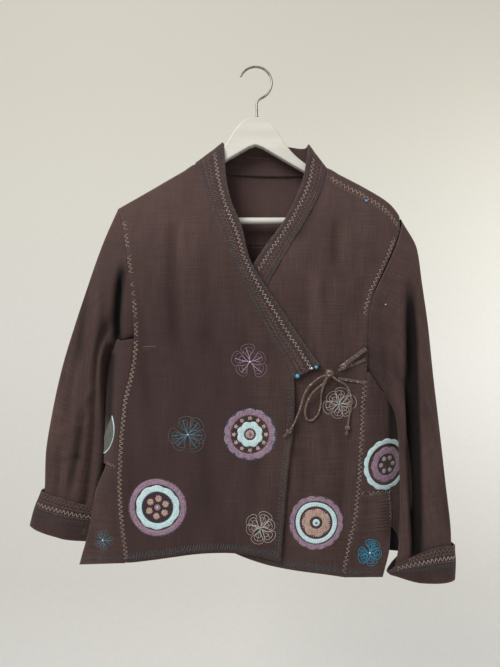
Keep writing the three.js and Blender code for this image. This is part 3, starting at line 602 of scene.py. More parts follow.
def cloth_material(name, dark, mid, light, worn, wear=0.5):
    n = Nodes(name)
    uv = n.uv()
    warp = n.noise(n.mapped(uv, (700, 22, 1)), detail=3, roughness=0.65)
    weft = n.noise(n.mapped(uv, (20, 640, 1)), detail=3, roughness=0.65)
    slub = n.spread(n.noise(n.mapped(uv, (30, 420, 1)), detail=1), 0.66, 0.78)
    drift = n.noise(n.mapped(uv, (34, 9, 1)), detail=3)
    tint = n.math("ADD", n.product(warp, 0.36), n.product(weft, 0.34))
    tint = n.math("ADD", tint, n.product(drift, 0.3))
    colour = n.blend(n.spread(tint, 0.36, 0.52), dark, mid)
    colour = n.blend(n.spread(tint, 0.5, 0.68), colour, light)
    colour = n.blend(n.product(slub, 0.3), colour, light)
    rubbed = n.spread(n.mark("edge"), 0.8, 3.5, 1.0, 0.0)
    rough_patch = n.spread(n.noise(n.place(), 160, 4, 0.7), 0.42, 0.62)
    colour = n.blend(n.product(n.product(rubbed, rough_patch), wear), colour, worn)
    where = n.add("ShaderNodeSeparateXYZ", {0: n.place()})
    low = n.spread(where.outputs[2], -0.66, -0.7)
    fade = n.spread(n.noise(n.mapped(n.place(), (9, 9, 4)), detail=1), 0.4, 0.62)
    colour = n.blend(n.product(fade, 0.3), colour, dark)
    # Painted highlight: the cloth is lighter towards the top, over the shoulders.
    colour = n.blend(n.product(n.spread(where.outputs[2], -0.4, -0.2), 0.3), colour, light)
    lower, left_of_middle = n.spread(where.outputs[2], -0.24, -0.42), n.spread(where.outputs[0], 0.05, -0.03)
    deeper = n.product(n.product(lower, left_of_middle), n.spread(where.outputs[0], -0.24, -0.19))
    colour = n.blend(n.product(deeper, 0.6), colour, dark)
    # Inner faces near the hem take it: partly lining colour, partly painted shade.
    colour = n.blend(n.product(n.product(n.mark("inside"), low), 0.85), colour, LINING_AND_PAINTED_SHADE)
    # Painted shade: crease troughs and the side pieces beside the sleeves are darkened to near black.
    colour = n.blend(n.product(n.mark("painted_shade"), 0.96), colour, PAINTED_SHADE_COLOUR)
    split = n.add("ShaderNodeSeparateXYZ", {0: uv})
    turns = 2 * math.pi / (2 * YARN_PITCH)
    over = n.math("SINE", n.product(split.outputs[0], turns))
    under = n.math("SINE", n.product(split.outputs[1], turns))
    weave = n.product(over, under)
    fine = n.bump(weave, 0.00007, 0.6)
    streaks = n.math("ADD", warp, n.math("ADD", weft, slub))
    normal = n.bump(streaks, 0.00022, 0.8, fine)
    n.shade(Base_Color=colour, Roughness=0.92, Normal=normal)
    n.shader.inputs["Specular IOR Level"].default_value = 0.18
    n.shader.inputs["Sheen Weight"].default_value = 0.22
    n.shader.inputs["Sheen Roughness"].default_value = 0.45
    n.shader.inputs["Sheen Tint"].default_value = linear(190, 170, 160)
    return n.material


def thread_material(name, colour, shadow, gloss=0.55):
    n = Nodes(name)
    grain = n.noise(n.place(), 900, 2)
    drift = n.noise(n.place(), 45, 2)
    tone = n.spread(n.math("ADD", n.product(grain, 0.5), n.product(drift, 0.5)), 0.36, 0.6)
    n.shade(Base_Color=n.blend(tone, shadow, colour), Roughness=gloss, Normal=n.bump(grain, 0.0001))
    n.shader.inputs["Specular IOR Level"].default_value = 0.3
    n.shader.inputs["Sheen Weight"].default_value = 0.15
    return n.material


def paint_material():
    n = Nodes("white_paint")
    grain = n.noise(n.mapped(n.place(), (9, 60, 60)), detail=4)
    blot = n.noise(n.place(), 22, 3)
    colour = n.blend(n.spread(grain, 0.4, 0.62), linear(204, 201, 190), linear(214, 211, 201))
    colour = n.blend(n.product(n.spread(blot, 0.55, 0.75), 0.25), colour, linear(196, 190, 176))
    n.shade(Base_Color=colour, Roughness=0.42, Normal=n.bump(grain, 0.0003, 0.5))
    return n.material


def steel_material():
    n = Nodes("wire_steel")
    grain = n.noise(n.mapped(n.place(), (400, 400, 60)), detail=3)
    colour = n.blend(n.spread(grain, 0.35, 0.65), linear(120, 113, 105), linear(160, 154, 146))
    n.shade(Base_Color=colour, Metallic=1.0, Roughness=n.spread(grain, 0.3, 0.7, 0.28, 0.46))
    n.shade(Normal=n.bump(grain, 0.00004))
    return n.material


CLOTH_LOOK = cloth_material(
    "brown_cloth", linear(56, 43, 42), linear(73, 57, 54), linear(92, 73, 69), linear(116, 102, 97), 0.26,
)
BAND_LOOK = cloth_material(
    "band_cloth", linear(52, 40, 39), linear(66, 51, 49), linear(84, 68, 65), linear(110, 102, 100), 0.38,
)
PAINT = paint_material()
STEEL = steel_material()


def finish_piece(piece, slot, *nodes):
    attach(piece, BODY)
    if nodes:
        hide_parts(*nodes)
    return piece


# Fronts
def front_points(side, down, across):
    seam_z = mix(SEAM_TOP_Z[side], SEAM_HEM_Z[side], down)
    centre_z = mix(CENTRE_TOP_Z[side], CENTRE_HEM_Z[side], down)
    towards = 1 if side == "right" else -1
    start = seam_x(side, seam_z) + towards * SEAM_GAP
    end = centre_x(side, centre_z) - towards * SEAM_GAP * 2.4
    x = mix(start, end, across)
    top_x = mix(seam_x(side, SEAM_TOP_Z[side]), centre_x(side, CENTRE_TOP_Z[side]), across)
    top_z = shoulder_z(side, top_x) - mix(SEAM_TOP_Z[side], CENTRE_TOP_Z[side], across)
    hem = HEM_BOW[side] * np.sin(math.pi * across**1.4)
    z = mix(seam_z, centre_z, across) + top_z * (1 - smooth(down / 0.35)) + hem * smooth((down - 0.75) / 0.25)
    return stack(x, front_y(side, x, z), z)


def shoulder_z(side, x):
    if side == "right":
        return crest_z(x)
    return crest_z(x) - mix(*SHOULDER_SEAM_DROP, smooth((x - 180) / 40))


def crest_points(x, angle):
    return stack(x, CREST_RADIUS * np.sin(angle), crest_z(x) - CREST_RADIUS * (1 - np.cos(angle)))


def make_front_right():
    along, across = grid(18, 96)
    start = seam_x("right", SEAM_TOP_Z["right"]) + SEAM_GAP
    end = centre_x("right", CENTRE_TOP_Z["right"]) - SEAM_GAP * 2
    over = crest_points(mix(start, end, across), mix(CREST_TURN, -CREST_TURN, along))
    down, across = grid(170, 96)
    points = np.concatenate([over[:-1], front_points("right", mix(0.022, 1, down**1.15), across)])
    shade = fold_shade(FRONT_CREASES["right"], points)
    piece = shell("front_right_cloth", points, CLOTH, CLOTH_LOOK, -1, straight=True, painted_shade=shade)
    return finish_piece(piece, "cloth", "front_right")


def make_front_left():
    points = front_points("left", *grid(180, 96))
    shade = fold_shade(FRONT_CREASES["left"], points)
    piece = shell("front_left_cloth", points, CLOTH, CLOTH_LOOK, 1, straight=True, painted_shade=shade)
    return finish_piece(piece, "cloth", "front_left")


# Back, with columns from the right armhole over the neck to the left armhole
BACK_LAST = 2 * BACK_SHOULDER + BACK_NECK


def back_top_x(column):
    start = seam_x("right", SEAM_TOP_Z["right"]) + SEAM_GAP * 3
    end = seam_x("left", SEAM_TOP_Z["left"]) - SEAM_GAP * 2
    neck_start = BAND_BACK["seam_x"][0]
    neck_end = BAND_BACK["seam_x"][-1] + SEAM_GAP * 2
    places = [0, BACK_SHOULDER, BACK_SHOULDER + BACK_NECK, BACK_LAST]
    return np.interp(column, places, [start, neck_start, neck_end, end])


def back_top(column):
    x = back_top_x(column)
    wrapped = crest_points(x, CREST_TURN)
    drop = SEAM_GAP * 2.5
    y_neck = np.maximum(read(BAND_BACK, "seam_x", "seam_y", x), wrapped[..., 1])
    z_neck = np.minimum(read(BAND_BACK, "seam_x", "seam_z", x) - SEAM_GAP * 2, wrapped[..., 2] - drop)
    before = column < BACK_SHOULDER
    after = column >= BACK_SHOULDER + BACK_NECK
    lap = smooth(np.minimum(column - BACK_SHOULDER, BACK_SHOULDER + BACK_NECK - column) / 0.8)
    y = np.where(before | after, wrapped[..., 1], y_neck + NECK_LAP[0] * lap)
    z_neck = z_neck + NECK_LAP[1] * lap
    z = np.where(before, wrapped[..., 2] - drop, np.where(after, wrapped[..., 2], z_neck))
    return stack(x, y, z)


def back_points(column, z):
    top = back_top(column)
    share = (top[..., 0] - back_top_x(0)) / (back_top_x(BACK_LAST) - back_top_x(0))
    x = mix(seam_x("right", z) + SEAM_GAP * 2, seam_x("left", z) - SEAM_GAP * 2, share)
    fade = 1 - smooth((top[..., 2] - z) / NECK_FADE)
    extra = (top[..., 1] - layer_depth(crest_z(top[..., 0]) - top[..., 2], BACK_DEPTH)) * fade
    return stack(x, back_y(x, z) + extra, z)


BACK_FINE = 6


def make_back_yoke():
    columns = BACK_LAST * BACK_FINE
    over_from = (BACK_SHOULDER + BACK_NECK) * BACK_FINE
    along, across = grid(18, columns)
    column = across * BACK_LAST
    x = back_top_x(column[:1])
    seam_z = shoulder_z("left", x) + SEAM_GAP * 4
    crest = crest_points(back_top_x(column), mix(-CREST_TURN, CREST_TURN, along))
    share = grid(4, columns)[0][:-1]
    first = crest[:1, :, 2]
    z = mix(seam_z, first, share)
    x_rows = np.broadcast_to(x, z.shape)
    seam_rows = stack(x_rows, front_y("left", x_rows, z), z)
    over = np.concatenate([seam_rows, crest[:-1]])
    along, across = grid(36, columns)
    column = across * BACK_LAST
    top = back_top(column)
    down = back_points(column, mix(top[..., 2], YOKE_Z + SEAM_GAP / 2, along))
    down[0] = top[0]
    points = np.concatenate([over, down])
    keep = np.ones((points.shape[0] - 1, columns), bool)
    keep[:len(over), :over_from] = False
    piece = shell("back_yoke_cloth", points, CLOTH, CLOTH_LOOK, 1, keep=keep, straight=True)
    return finish_piece(piece, "cloth", "back_yoke")


def make_back_lower():
    along, across = grid(130, BACK_LAST * BACK_FINE)
    hem = HEM_BACK_Z + HEM_BOW["back"] * np.sin(math.pi * across)
    points = back_points(across * BACK_LAST, mix(YOKE_Z - SEAM_GAP / 2, hem, along))
    shade = fold_shade(BACK_CREASES, points)
    piece = shell("back_lower_cloth", points, CLOTH, CLOTH_LOOK, 1, straight=True, painted_shade=shade)
    return finish_piece(piece, "cloth", "back_lower")


# Side pieces: round is 0 at the front seam, one half at the side fold and 1 at the back seam
def side_points(side, around, z):
    outwards = -1 if side == "right" else 1
    fold = {name: read(BODY_FOLD[side], "z", name, z) for name in ("x", "y", "bend")}
    seam = seam_x(side, z) + outwards * SEAM_GAP
    turn = math.pi * around
    x = seam + (fold["x"] - seam) * np.sin(turn)
    y = np.where(turn < math.pi / 2, front_y(side, seam, z), back_y(seam, z))
    y = y + np.where(turn < math.pi / 2, -1, 1) * slack(x, z, 41) * np.sin(turn)
    return stack(x, fold["y"] + (y - fold["y"]) * np.abs(np.cos(turn)) ** fold["bend"], z)


def make_side(side):
    columns, upper_rows, rear_rows = 56, 60, 44
    along, around = grid(upper_rows, columns)
    first = {name: values[:4] for name, values in SLEEVE[side].items()}
    start = side_points(side, around, np.full_like(along, BODY_FOLD[side]["z"][1]))
    start_z = read(first, "inner_x", "inner_z", start[..., 0]) - UNDERARM_GAP
    start_z = start_z + 4 * smooth((start[..., 1] + 16) / 6) + UNDERARM_RISE * smooth((start[..., 1] - 1) / 8)
    z = mix(start_z, GORE_TOP_Z[side], along)
    upper = side_points(side, around, z)
    along, around = grid(rear_rows, columns)
    z = mix(GORE_TOP_Z[side], REAR_HEM_Z, along)
    rear = side_points(side, around, z)
    points = np.concatenate([upper, rear[1:]])
    keep = np.ones((upper_rows + rear_rows, columns), bool)
    keep[upper_rows:, :columns // 2] = False
    outward = 1 if side == "right" else -1
    start, reach, top, bottom = SIDE_SHADE[side]
    x, z = np.abs(points[..., 0]), points[..., 2]
    top_fade, low_fade = SIDE_SHADE_FADES
    shade = smooth((x - start) / reach) * smooth((top - z) / top_fade) * smooth((z - bottom) / low_fade)
    shade = shade * (around[0] < SIDE_SHADE_SHARE)
    piece = shell(
        f"side_{side}_cloth", points, CLOTH, CLOTH_LOOK, outward, keep=keep, straight=True, painted_shade=shade,
    )
    return finish_piece(piece, "cloth", f"side_{side}")


VENT_FLAP = table("z x", (-641, 203), (-690, 204), (-703, 211), (-713, 217), (-722, 220))


def make_vent_flap():
    """The rear side panel's front edge, seen past the left gore."""
    down, across = grid(50, 12)
    z = mix(GORE_TOP_Z["left"] - SEAM_GAP, VENT_FLAP["z"].min(), down)
    seam, fold = seam_x("left", z), read(BODY_FOLD["left"], "z", "x", z)
    edge = np.minimum(read(VENT_FLAP, "z", "x", z), fold - 0.5)
    turn = np.arcsin(np.clip((edge - seam) / (fold - seam), 0, 1)) / math.pi
    points = side_points("left", mix(turn, 0.5, across), z)
    finish_piece(shell("side_left_flap", points, CLOTH, CLOTH_LOOK, -1, straight=True), "cloth")


def gore_points(side, down, across):
    seam_hem, edge_hem = GORE_HEM_Z[side]
    z = mix(GORE_TOP_Z[side] - SEAM_GAP * 2, mix(seam_hem, edge_hem, across), down)
    outwards = -1 if side == "right" else 1
    seam = seam_x(side, z) + outwards * SEAM_GAP
    edge = read(GORE_EDGE[side], "z", "x", z) - outwards * SEAM_GAP * 4
    flat = smooth((VENT_TOP_Z[side] - z) / VENT_TURN)
    turn = math.pi / 2 * across
    x = seam + (edge - seam) * mix(np.sin(turn), across, flat)
    y = front_y(side, seam, z)
    loose = slack(x, z, 51) * np.sin(turn)
    return stack(x, mix(FOLD_Y + (y - FOLD_Y) * np.cos(turn), y * (1 - 0.3 * across), flat) - loose, z)


def make_gore(side):
    down, across = grid(150, 56)
    points = gore_points(side, down, across)
    out = None
    if side == "left":
        place = (down - TUCKS["from"]) / (TUCKS["to"] - TUCKS["from"])
        wave = np.abs(np.sin(math.pi * place * TUCKS["count"])) ** 1.6
        reach = smooth((across - 0.28) / 0.2) * smooth((0.98 - across) / 0.08)
        out = TUCKS["height"] * wave * reach * ((place > 0) & (place < 1))
    outward = 1 if side == "right" else -1
    piece = shell(f"gore_{side}_cloth", points, CLOTH, CLOTH_LOOK, outward, out=out, straight=True)
    return finish_piece(piece, "cloth", f"gore_{side}")


# Sleeves and cuffs: round is 0 at the outer edge, one quarter in front and one half inside
def ring_points(rows, along, around):
    place = along * (len(rows["row"]) - 1)
    across = (1 - np.cos(2 * math.pi * around)) / 2
    bulge = np.sin(2 * math.pi * around)
    depth = -np.sign(bulge) * np.abs(bulge) ** SQUARENESS
    x = mix(read(rows, "row", "outer_x", place), read(rows, "row", "inner_x", place), across)
    z = mix(read(rows, "row", "outer_z", place), read(rows, "row", "inner_z", place), across)
    return stack(x, read(rows, "row", "y", place) + read(rows, "row", "half", place) * depth, z)


def armhole_points(side, around):
    first = {name: values[0] for name, values in SLEEVE[side].items()}
    across = (1 - np.cos(2 * math.pi * around)) / 2
    outwards = -1 if side == "right" else 1
    z = mix(first["outer_z"], first["inner_z"], across)
    x = seam_x(side, z) + outwards * SEAM_GAP * 2.5
    closing = np.where(across > 0.5, np.abs(np.sin(2 * math.pi * around)) ** 0.3, 1)
    return stack(x, np.where(around < 0.5, front_y(side, x, z), back_y(x, z)) * closing, z)


def sleeve_points(side, along, around):
    straight = ring_points(SLEEVE[side], along, around)
    flat_start = ring_points(SLEEVE[side], np.zeros_like(along), around)
    armhole = armhole_points(side, around)
    near = 1 - smooth(along / ARMHOLE_FADE)
    x = straight[..., 0] + (armhole[..., 0] - flat_start[..., 0]) * near
    y = mix(straight[..., 1], armhole[..., 1], near)
    z = straight[..., 2]
    across = -np.cos(2 * math.pi * around)
    front = around < 0.5
    for centre, depth, width, start, end in SLEEVE_FOLD[side]:
        ends = smooth((along - start) / 0.15) * smooth((end - along) / 0.1)
        y = y + np.where(front, depth * ends * np.exp(-(((across - centre) / width) ** 2)), 0)
    away = smooth(along / 0.08) * smooth((1 - along) / 0.06)
    face = np.clip(np.abs(np.sin(2 * math.pi * around)) * 1.8, 0, 1) * away
    ahead = creases(SLEEVE_CREASES[side, "front"], x, z) + slack(x, z, 61) * 1.3
    behind = creases(SLEEVE_CREASES[side, "back"], x, z) + slack(x, z, 71) * 1.3
    return stack(x, y + np.where(front, -ahead, behind) * face, z)


def around_grid(rows, columns):
    return np.meshgrid(np.linspace(0, 1, rows + 1), np.arange(columns) / columns, indexing="ij")


def make_sleeve(side):
    along, around = around_grid(170, 128)
    points = sleeve_points(side, along, around)
    # Painted shade in the sleeve's front creases, darkest in its deep channel.
    painted_shade = fold_shade(SLEEVE_CREASES[side, "front"], points) * (around < 0.5)
    outward = -1 if side == "right" else 1
    piece = shell(f"sleeve_{side}_cloth", points, CLOTH, CLOTH_LOOK, outward, around=True, painted_shade=painted_shade)
    return finish_piece(piece, "cloth", f"sleeve_{side}")


def cuff_points(side, along, around):
    """A turned-back cuff, whose edges are bowed as well as slanted."""
    across = (1 - np.cos(2 * math.pi * around)) / 2
    bow = mix(*CUFF_BOW[side], along) * 4 * across * (1 - across)
    rear = np.clip(-np.sin(2 * math.pi * around), 0, 1) ** 0.7 * (1 - 0.6 * across)
    drop = CUFF_REAR_DROP[side] * along**2 * rear
    points = ring_points(CUFF[side], along, around) + stack(0, 0, bow - drop)
    middle = CUFF[side]["y"][0]
    points[..., 1] = middle + (points[..., 1] - middle) * (1 - 0.45 * smooth((across - 0.55) / 0.45))
    return points


def make_cuff(side):
    along, around = around_grid(36, 128)
    points = cuff_points(side, along, around)
    ripple = 0.5 * undulation(around * 300, along * 60, 16, 22, 81)
    outward = -1 if side == "right" else 1
    piece = shell(f"cuff_{side}_cloth", points, CUFF_CLOTH, BAND_LOOK, outward, around=True, out=ripple)
    return finish_piece(piece, "cloth", f"cuff_{side}")


# Neckband: one strip from the right front's end round the neck to the left front's end
def band_rows():
    parts = []
    for rows, side in ((BAND_FRONT_RIGHT, "right"), (BAND_BACK, None), (BAND_FRONT_LEFT, "left")):
        part = {name: np.array(rows[name]) for name in ("seam_x", "seam_z", "edge_x", "edge_z")}
        if side:
            part["seam_x"] = centre_x(side, part["seam_z"])
            part["seam_y"] = front_y(side, part["seam_x"], part["seam_z"])
            part["edge_y"] = part["seam_y"] + rows["back"]
        else:
            part["seam_y"], part["edge_y"] = rows["seam_y"], rows["edge_y"]
        parts.append(part)
    return numbered({name: np.concatenate([part[name] for part in parts]) for name in parts[0]})


BAND_LAP = 1.045
BAND_LAST_RIGHT = 9
BAND_FIRST_LEFT = 19


def band_points(place, across):
    rows = band_rows()
    value = {name: read(rows, "row", name, place) for name in rows}
    seam_x_here, seam_y = value["seam_x"], value["seam_y"]
    for side, here in (("right", place <= BAND_LAST_RIGHT), ("left", place >= BAND_FIRST_LEFT)):
        exact = centre_x(side, value["seam_z"])
        seam_x_here = np.where(here, exact, seam_x_here)
        seam_y = np.where(here, front_y(side, exact, value["seam_z"]), seam_y)
    x = mix(value["edge_x"], seam_x_here, across)
    z = mix(value["edge_z"], value["seam_z"], across)
    return stack(x, mix(value["edge_y"], seam_y, across), z)


def make_neckband():
    along, across = grid(420, 18)
    last = len(band_rows()["row"]) - 1
    points = band_points(along * last, across * BAND_LAP)
    groove = np.exp(-(((across - 0.34) / 0.1) ** 2))
    quilted = 0.5 * undulation(along * 1400, across * 36, 13, 14, 91) - 0.5 * groove
    piece = shell("neckband_cloth", points, BAND_CLOTH, BAND_LOOK, -1, out=quilted)
    return finish_piece(piece, "cloth", "neckband")


# Hanger
WOOD_DEPTH = 11
WOOD_EDGE = 2.4
CREST_CLEARANCE = 5
WOOD_NECK_TOP = table("x z", (8, -76), (17, -80), (32, -96), (47, -119.5), (62, -136), (76, -147))
WOOD_LOW_EDGE = table("x z", (1, -119), (10, -122), (72, -158), (150, -202))
WOOD_SLOPE_X = (92, 108, 124, 140, 154, 168, 179, 190, 199)
WOOD_END = table("x z", (190.4, -226), (190.4, -239), (198, -240), (203, -234))
BAR = {"radius": 5, "z": -232.5, "reach": 190}
HOOK = {"wire": 3.4, "radius": 24.6, "stem_x": 2, "stem_z": -54, "bend_x": 5.4, "bend_z": -48.4}
HOOK_TURN = (-60, 158)
WOOD_TOP_Z = -76


def hanger_outline():
    def half(mirror):
        top_x = np.linspace(8, 76, 14)
        top = [(mirror * x, float(read(WOOD_NECK_TOP, "x", "z", x))) for x in top_x]
        slope = [(mirror * x, float(crest_z(mirror * x)) - CREST_CLEARANCE) for x in WOOD_SLOPE_X]
        end = list(zip(mirror * WOOD_END["x"], WOOD_END["z"]))[::-1]
        low = list(zip(mirror * WOOD_LOW_EDGE["x"], WOOD_LOW_EDGE["z"]))[::-1]
        return top + slope + end + low
    return half(1) + half(-1)[::-1]


def rounded_plate(name, outline, depth, edge, material):
    """An outline in x and z, given depth along y and rounded edges by narrower outer layers."""
    mesh = bpy.data.meshes.new(name)
    front = [(x * MM, -depth / 2 * MM, z * MM) for x, z in outline]
    back = [(x * MM, depth / 2 * MM, z * MM) for x, z in outline]
    count = len(outline)
    sides = [(i, (i + 1) % count, count + (i + 1) % count, count + i) for i in range(count)]
    mesh.from_pydata(front + back, [], [tuple(range(count))[::-1], tuple(range(count, 2 * count)), *sides])
    mesh.update()
    piece = bpy.data.objects.new(name, mesh)
    bpy.context.scene.collection.objects.link(piece)
    mesh.materials.append(material)
    bevel = piece.modifiers.new("rounded", "BEVEL")
    bevel.width = edge * MM
    bevel.segments = 4
    bevel.limit_method = "ANGLE"
    bevel.angle_limit = math.radians(50)
    bevel.harden_normals = True
    for polygon in mesh.polygons:
        polygon.use_smooth = True
    return piece


NO_TRIANGLES = np.zeros((0, 3), int)


def tube(path, radius, sides=12, flutes=0, twist=0.0, depth=0.0):
    """Points and faces of a tube along a path, with twisted flutes and rounded ends."""
    path = np.asarray(path, float)
    tangent = unit(np.gradient(path, axis=0))
    up = np.cross(tangent[0], [0.3, 0.9, 0.2])
    frames = []
    for t in tangent:
        up = up - t * np.dot(up, t)
        up /= np.linalg.norm(up)
        frames.append((up, np.cross(t, up)))
    length = running_length(path)
    turn = 2 * math.pi * np.arange(sides) / sides
    radii = np.full(len(path), float(radius)) if np.ndim(radius) == 0 else np.asarray(radius, float)
    rings = []
    for point, (a, b), s, r in zip(path, frames, length, radii):
        here = r * (1 + depth * (np.cos(flutes * turn - twist * s) - 0.3)) if flutes else r * np.ones(sides)
        rings.append(point + np.outer(np.cos(turn) * here, a) + np.outer(np.sin(turn) * here, b))
    points = np.concatenate([*rings, path[:1], path[-1:]])
    number = np.arange(len(path) * sides).reshape(-1, sides)
    nxt = np.roll(number, -1, 1)
    faces = np.stack([number[:-1], nxt[:-1], nxt[1:], number[1:]], -1).reshape(-1, 4)
    first, last = len(path) * sides, len(path) * sides + 1
    start = np.stack([nxt[0], number[0], np.full(sides, first)], -1)
    end = np.stack([number[-1], nxt[-1], np.full(sides, last)], -1)
    return points, faces, np.concatenate([start, end])


def joined(name, parts, material):
    """One object of several tubes or other parts, each with points, quads and triangles."""
    points, faces, start = [], [], 0
    for part_points, quads, triangles in parts:
        points.append(part_points)
        for corners in (quads, triangles):
            faces += [tuple(f) for f in (corners + start).tolist()]
        start += len(part_points)
    mesh = bpy.data.meshes.new(name)
    mesh.from_pydata((np.concatenate(points) * MM).tolist(), [], faces)
    mesh.update()
    mesh.polygons.foreach_set("use_smooth", np.ones(len(mesh.polygons), bool))
    mesh.materials.append(material)
    piece = bpy.data.objects.new(name, mesh)
    bpy.context.scene.collection.objects.link(piece)
    return piece


def through(points, step=1.0):
    """A smooth centripetal curve through points, with places about a step apart."""
    points = np.asarray(points, float)
    gaps = np.linalg.norm(np.diff(points, axis=0), axis=1) ** 0.5
    knots = np.concatenate([[0], np.cumsum(gaps)])
    count = max(2, int(np.linalg.norm(np.diff(points, axis=0), axis=1).sum() / step) + 1)
    places = np.linspace(0, knots[-1], count)
    slope = np.diff(points, axis=0) / gaps[:, None]
    tangent = np.empty_like(points)
    tangent[0], tangent[-1] = slope[0], slope[-1]
    share = (gaps[:-1] / (gaps[:-1] + gaps[1:]))[:, None]
    tangent[1:-1] = slope[:-1] * (1 - share) + slope[1:] * share
    i = np.clip(np.searchsorted(knots, places, side="right") - 1, 0, len(gaps) - 1)
    span = gaps[i][:, None]
    t = ((places - knots[i]) / gaps[i])[:, None]
    return hermite(t, span, points[i], points[i + 1], tangent[i], tangent[i + 1])


def make_hanger():
    arms = rounded_plate("hanger_arms_painted", hanger_outline(), WOOD_DEPTH, WOOD_EDGE, PAINT)
    finish_piece(arms, "wood", "hanger_arms")
    ends = [(-BAR["reach"], 0, BAR["z"]), (BAR["reach"], 0, BAR["z"])]
    bar = joined("hanger_bar_painted", [tube(through(ends, 6), BAR["radius"], 32)], PAINT)
    finish_piece(bar, "wood", "hanger_bar")
    centre_z = HOOK["wire"] / 2 - HOOK["radius"]
    turns = np.radians(np.linspace(*HOOK_TURN, 40))
    stem_z = (WOOD_TOP_Z - 0.6, (WOOD_TOP_Z + HOOK["stem_z"]) / 2, HOOK["stem_z"])
    path = [(HOOK["stem_x"], 0, z) for z in stem_z]
    path.append((HOOK["bend_x"], 0, HOOK["bend_z"]))
    path += [(HOOK["radius"] * math.cos(a), 0, centre_z + HOOK["radius"] * math.sin(a)) for a in turns]
    line = through(path, 1)
    radii = np.full(len(line), HOOK["wire"] / 2)
    radii[-3:] *= (0.95, 0.8, 0.45)
    wire = tube(line, radii, 20)
    collar = tube([(HOOK["stem_x"], 0, WOOD_TOP_Z + 0.1), (HOOK["stem_x"], 0, WOOD_TOP_Z + 1.4)], 3.6, 24)
    hook = joined("hanger_hook_wire", [wire, collar], STEEL)
    finish_piece(hook, "steel", "hanger_hook")


PIECES = {
    "front_right": make_front_right(),
    "front_left": make_front_left(),
    "back_yoke": make_back_yoke(),
    "back_lower": make_back_lower(),
    "neckband": make_neckband(),
}
for side in ("right", "left"):
    PIECES[f"side_{side}"] = make_side(side)
    PIECES[f"gore_{side}"] = make_gore(side)
    PIECES[f"sleeve_{side}"] = make_sleeve(side)
    PIECES[f"cuff_{side}"] = make_cuff(side)
make_vent_flap()
make_hanger()


# Sewing: each stitch is a short arched thread on the cloth's surface
SEWN = np.random.default_rng(7)
STITCH_SHARES = np.array([0, 0.3, 0.7, 1])
STITCH_LIFTS = np.array([-0.3, 0.4, 0.4, -0.3])
LONGEST_STITCH = 12
FRONT, BEHIND = -1, 1
THREADS = {}


def surface(*names):
    """The cloth of these pieces, to lay sewing on."""
    points, faces, start = [], [], 0
    for name in names:
        mesh = PIECES[name].data
        places = np.empty(len(mesh.vertices) * 3, np.float32)
        corners = np.empty(len(mesh.loops), np.int32)
        mesh.vertices.foreach_get("co", places)
        mesh.loops.foreach_get("vertex_index", corners)
        points += (places.reshape(-1, 3) / MM).tolist()
        faces += (corners.reshape(-1, 4) + start).tolist()
        start += len(mesh.vertices)
    return BVHTree.FromPolygons(points, faces)


RAY_START = 400


def land(cloth, side, x, z):
    """Where lines along y from in front or behind meet the cloth, with its normals."""
    places, normals = np.full((x.size, 3), np.nan), np.zeros((x.size, 3))
    for i, (a, b) in enumerate(zip(x.ravel().tolist(), z.ravel().tolist())):
        place, normal, _, _ = cloth.ray_cast(Vector((a, side * RAY_START, b)), Vector((0, -side, 0)))
        if place is not None:
            places[i] = place
            normals[i] = normal if normal.y * side > 0 else -normal
    return places.reshape(*x.shape, 3), normals.reshape(*x.shape, 3)


def sew(thread, cloth, side, ends):
    """Adds stitches, each from one x and z to another, to a thread's object."""
    ends = np.asarray(ends, float)
    flat = mix(ends[:, :1], ends[:, 1:], STITCH_SHARES[None, :, None])
    places, normals = land(cloth, side, flat[..., 0], flat[..., 1])
    whole = ~np.isnan(places).any((1, 2))
    places, normals = places[whole], normals[whole]
    short = np.linalg.norm(places[:, -1] - places[:, 0], axis=1) < LONGEST_STITCH
    centre = places + normals * STITCH_LIFTS[None, :, None]
    THREADS.setdefault(thread, []).append(np.stack([centre, normals], 2)[short])


def paced(route, pitch, step=1.5):
    """Places a pitch apart on a smooth route, with the directions ahead and aside."""
    line = through(route, step)
    length = running_length(line)
    places = np.linspace(0, length[-1], max(3, int(round(length[-1] / pitch)) + 1))
    points = np.stack([np.interp(places, length, line[:, k]) for k in (0, 1)], -1)
    ahead = unit(np.gradient(points, axis=0))
    return points, ahead, np.stack([-ahead[:, 1], ahead[:, 0]], -1)


def zigzag(route, pitch, swing):
    points, _, aside = paced(route, pitch / 2)
    count = len(points)
    swings = np.where(np.arange(count) % 2, 0.5, -0.5) * swing * SEWN.uniform(0.75, 1.15, count)
    corners = points + aside * swings[:, None] + SEWN.normal(0, 0.22, points.shape)
    return np.stack([corners[:-1], corners[1:]], 1)


def dashes(route, pitch, length, slant):
    points, ahead, aside = paced(route, pitch)
    turn = math.radians(slant) + SEWN.normal(0, 0.2, len(points))[:, None]
    half = (ahead * np.cos(turn) + aside * np.sin(turn)) * length / 2
    half = half * SEWN.uniform(0.7, 1.2, len(points))[:, None]
    points = points + SEWN.normal(0, 0.25, points.shape)
    return np.stack([points - half, points + half], 1)


def running(route, pitch=1.9):
    points, _, _ = paced(route, pitch, 0.7)
    return np.stack([points[:-1], points[1:]], 1)


THREAD_SIDES = 4


def side_quads(number, following):
    return np.stack([number[:, :-1], number[:, 1:], following[:, 1:], following[:, :-1]], -1)


def make_thread(name, radius, material):
    data = np.concatenate(THREADS[name])
    centre, normal = data[:, :, 0], data[:, :, 1]
    ahead = unit(np.gradient(centre, axis=1))
    across = unit(np.cross(ahead, normal))
    up = np.cross(across, ahead)
    turn = 2 * math.pi * np.arange(THREAD_SIDES) / THREAD_SIDES
    ring = np.cos(turn)[:, None] * across[:, :, None] + np.sin(turn)[:, None] * up[:, :, None]
    points = centre[:, :, None] + radius * ring
    count, steps = centre.shape[:2]
    number = np.arange(count * steps * THREAD_SIDES).reshape(count, steps, THREAD_SIDES)
    nxt = np.roll(number, -1, 2)
    faces = side_quads(number, nxt).reshape(-1, 4)
    return finish_piece(new_object(name, points.reshape(-1, 3), faces, material), "cloth")


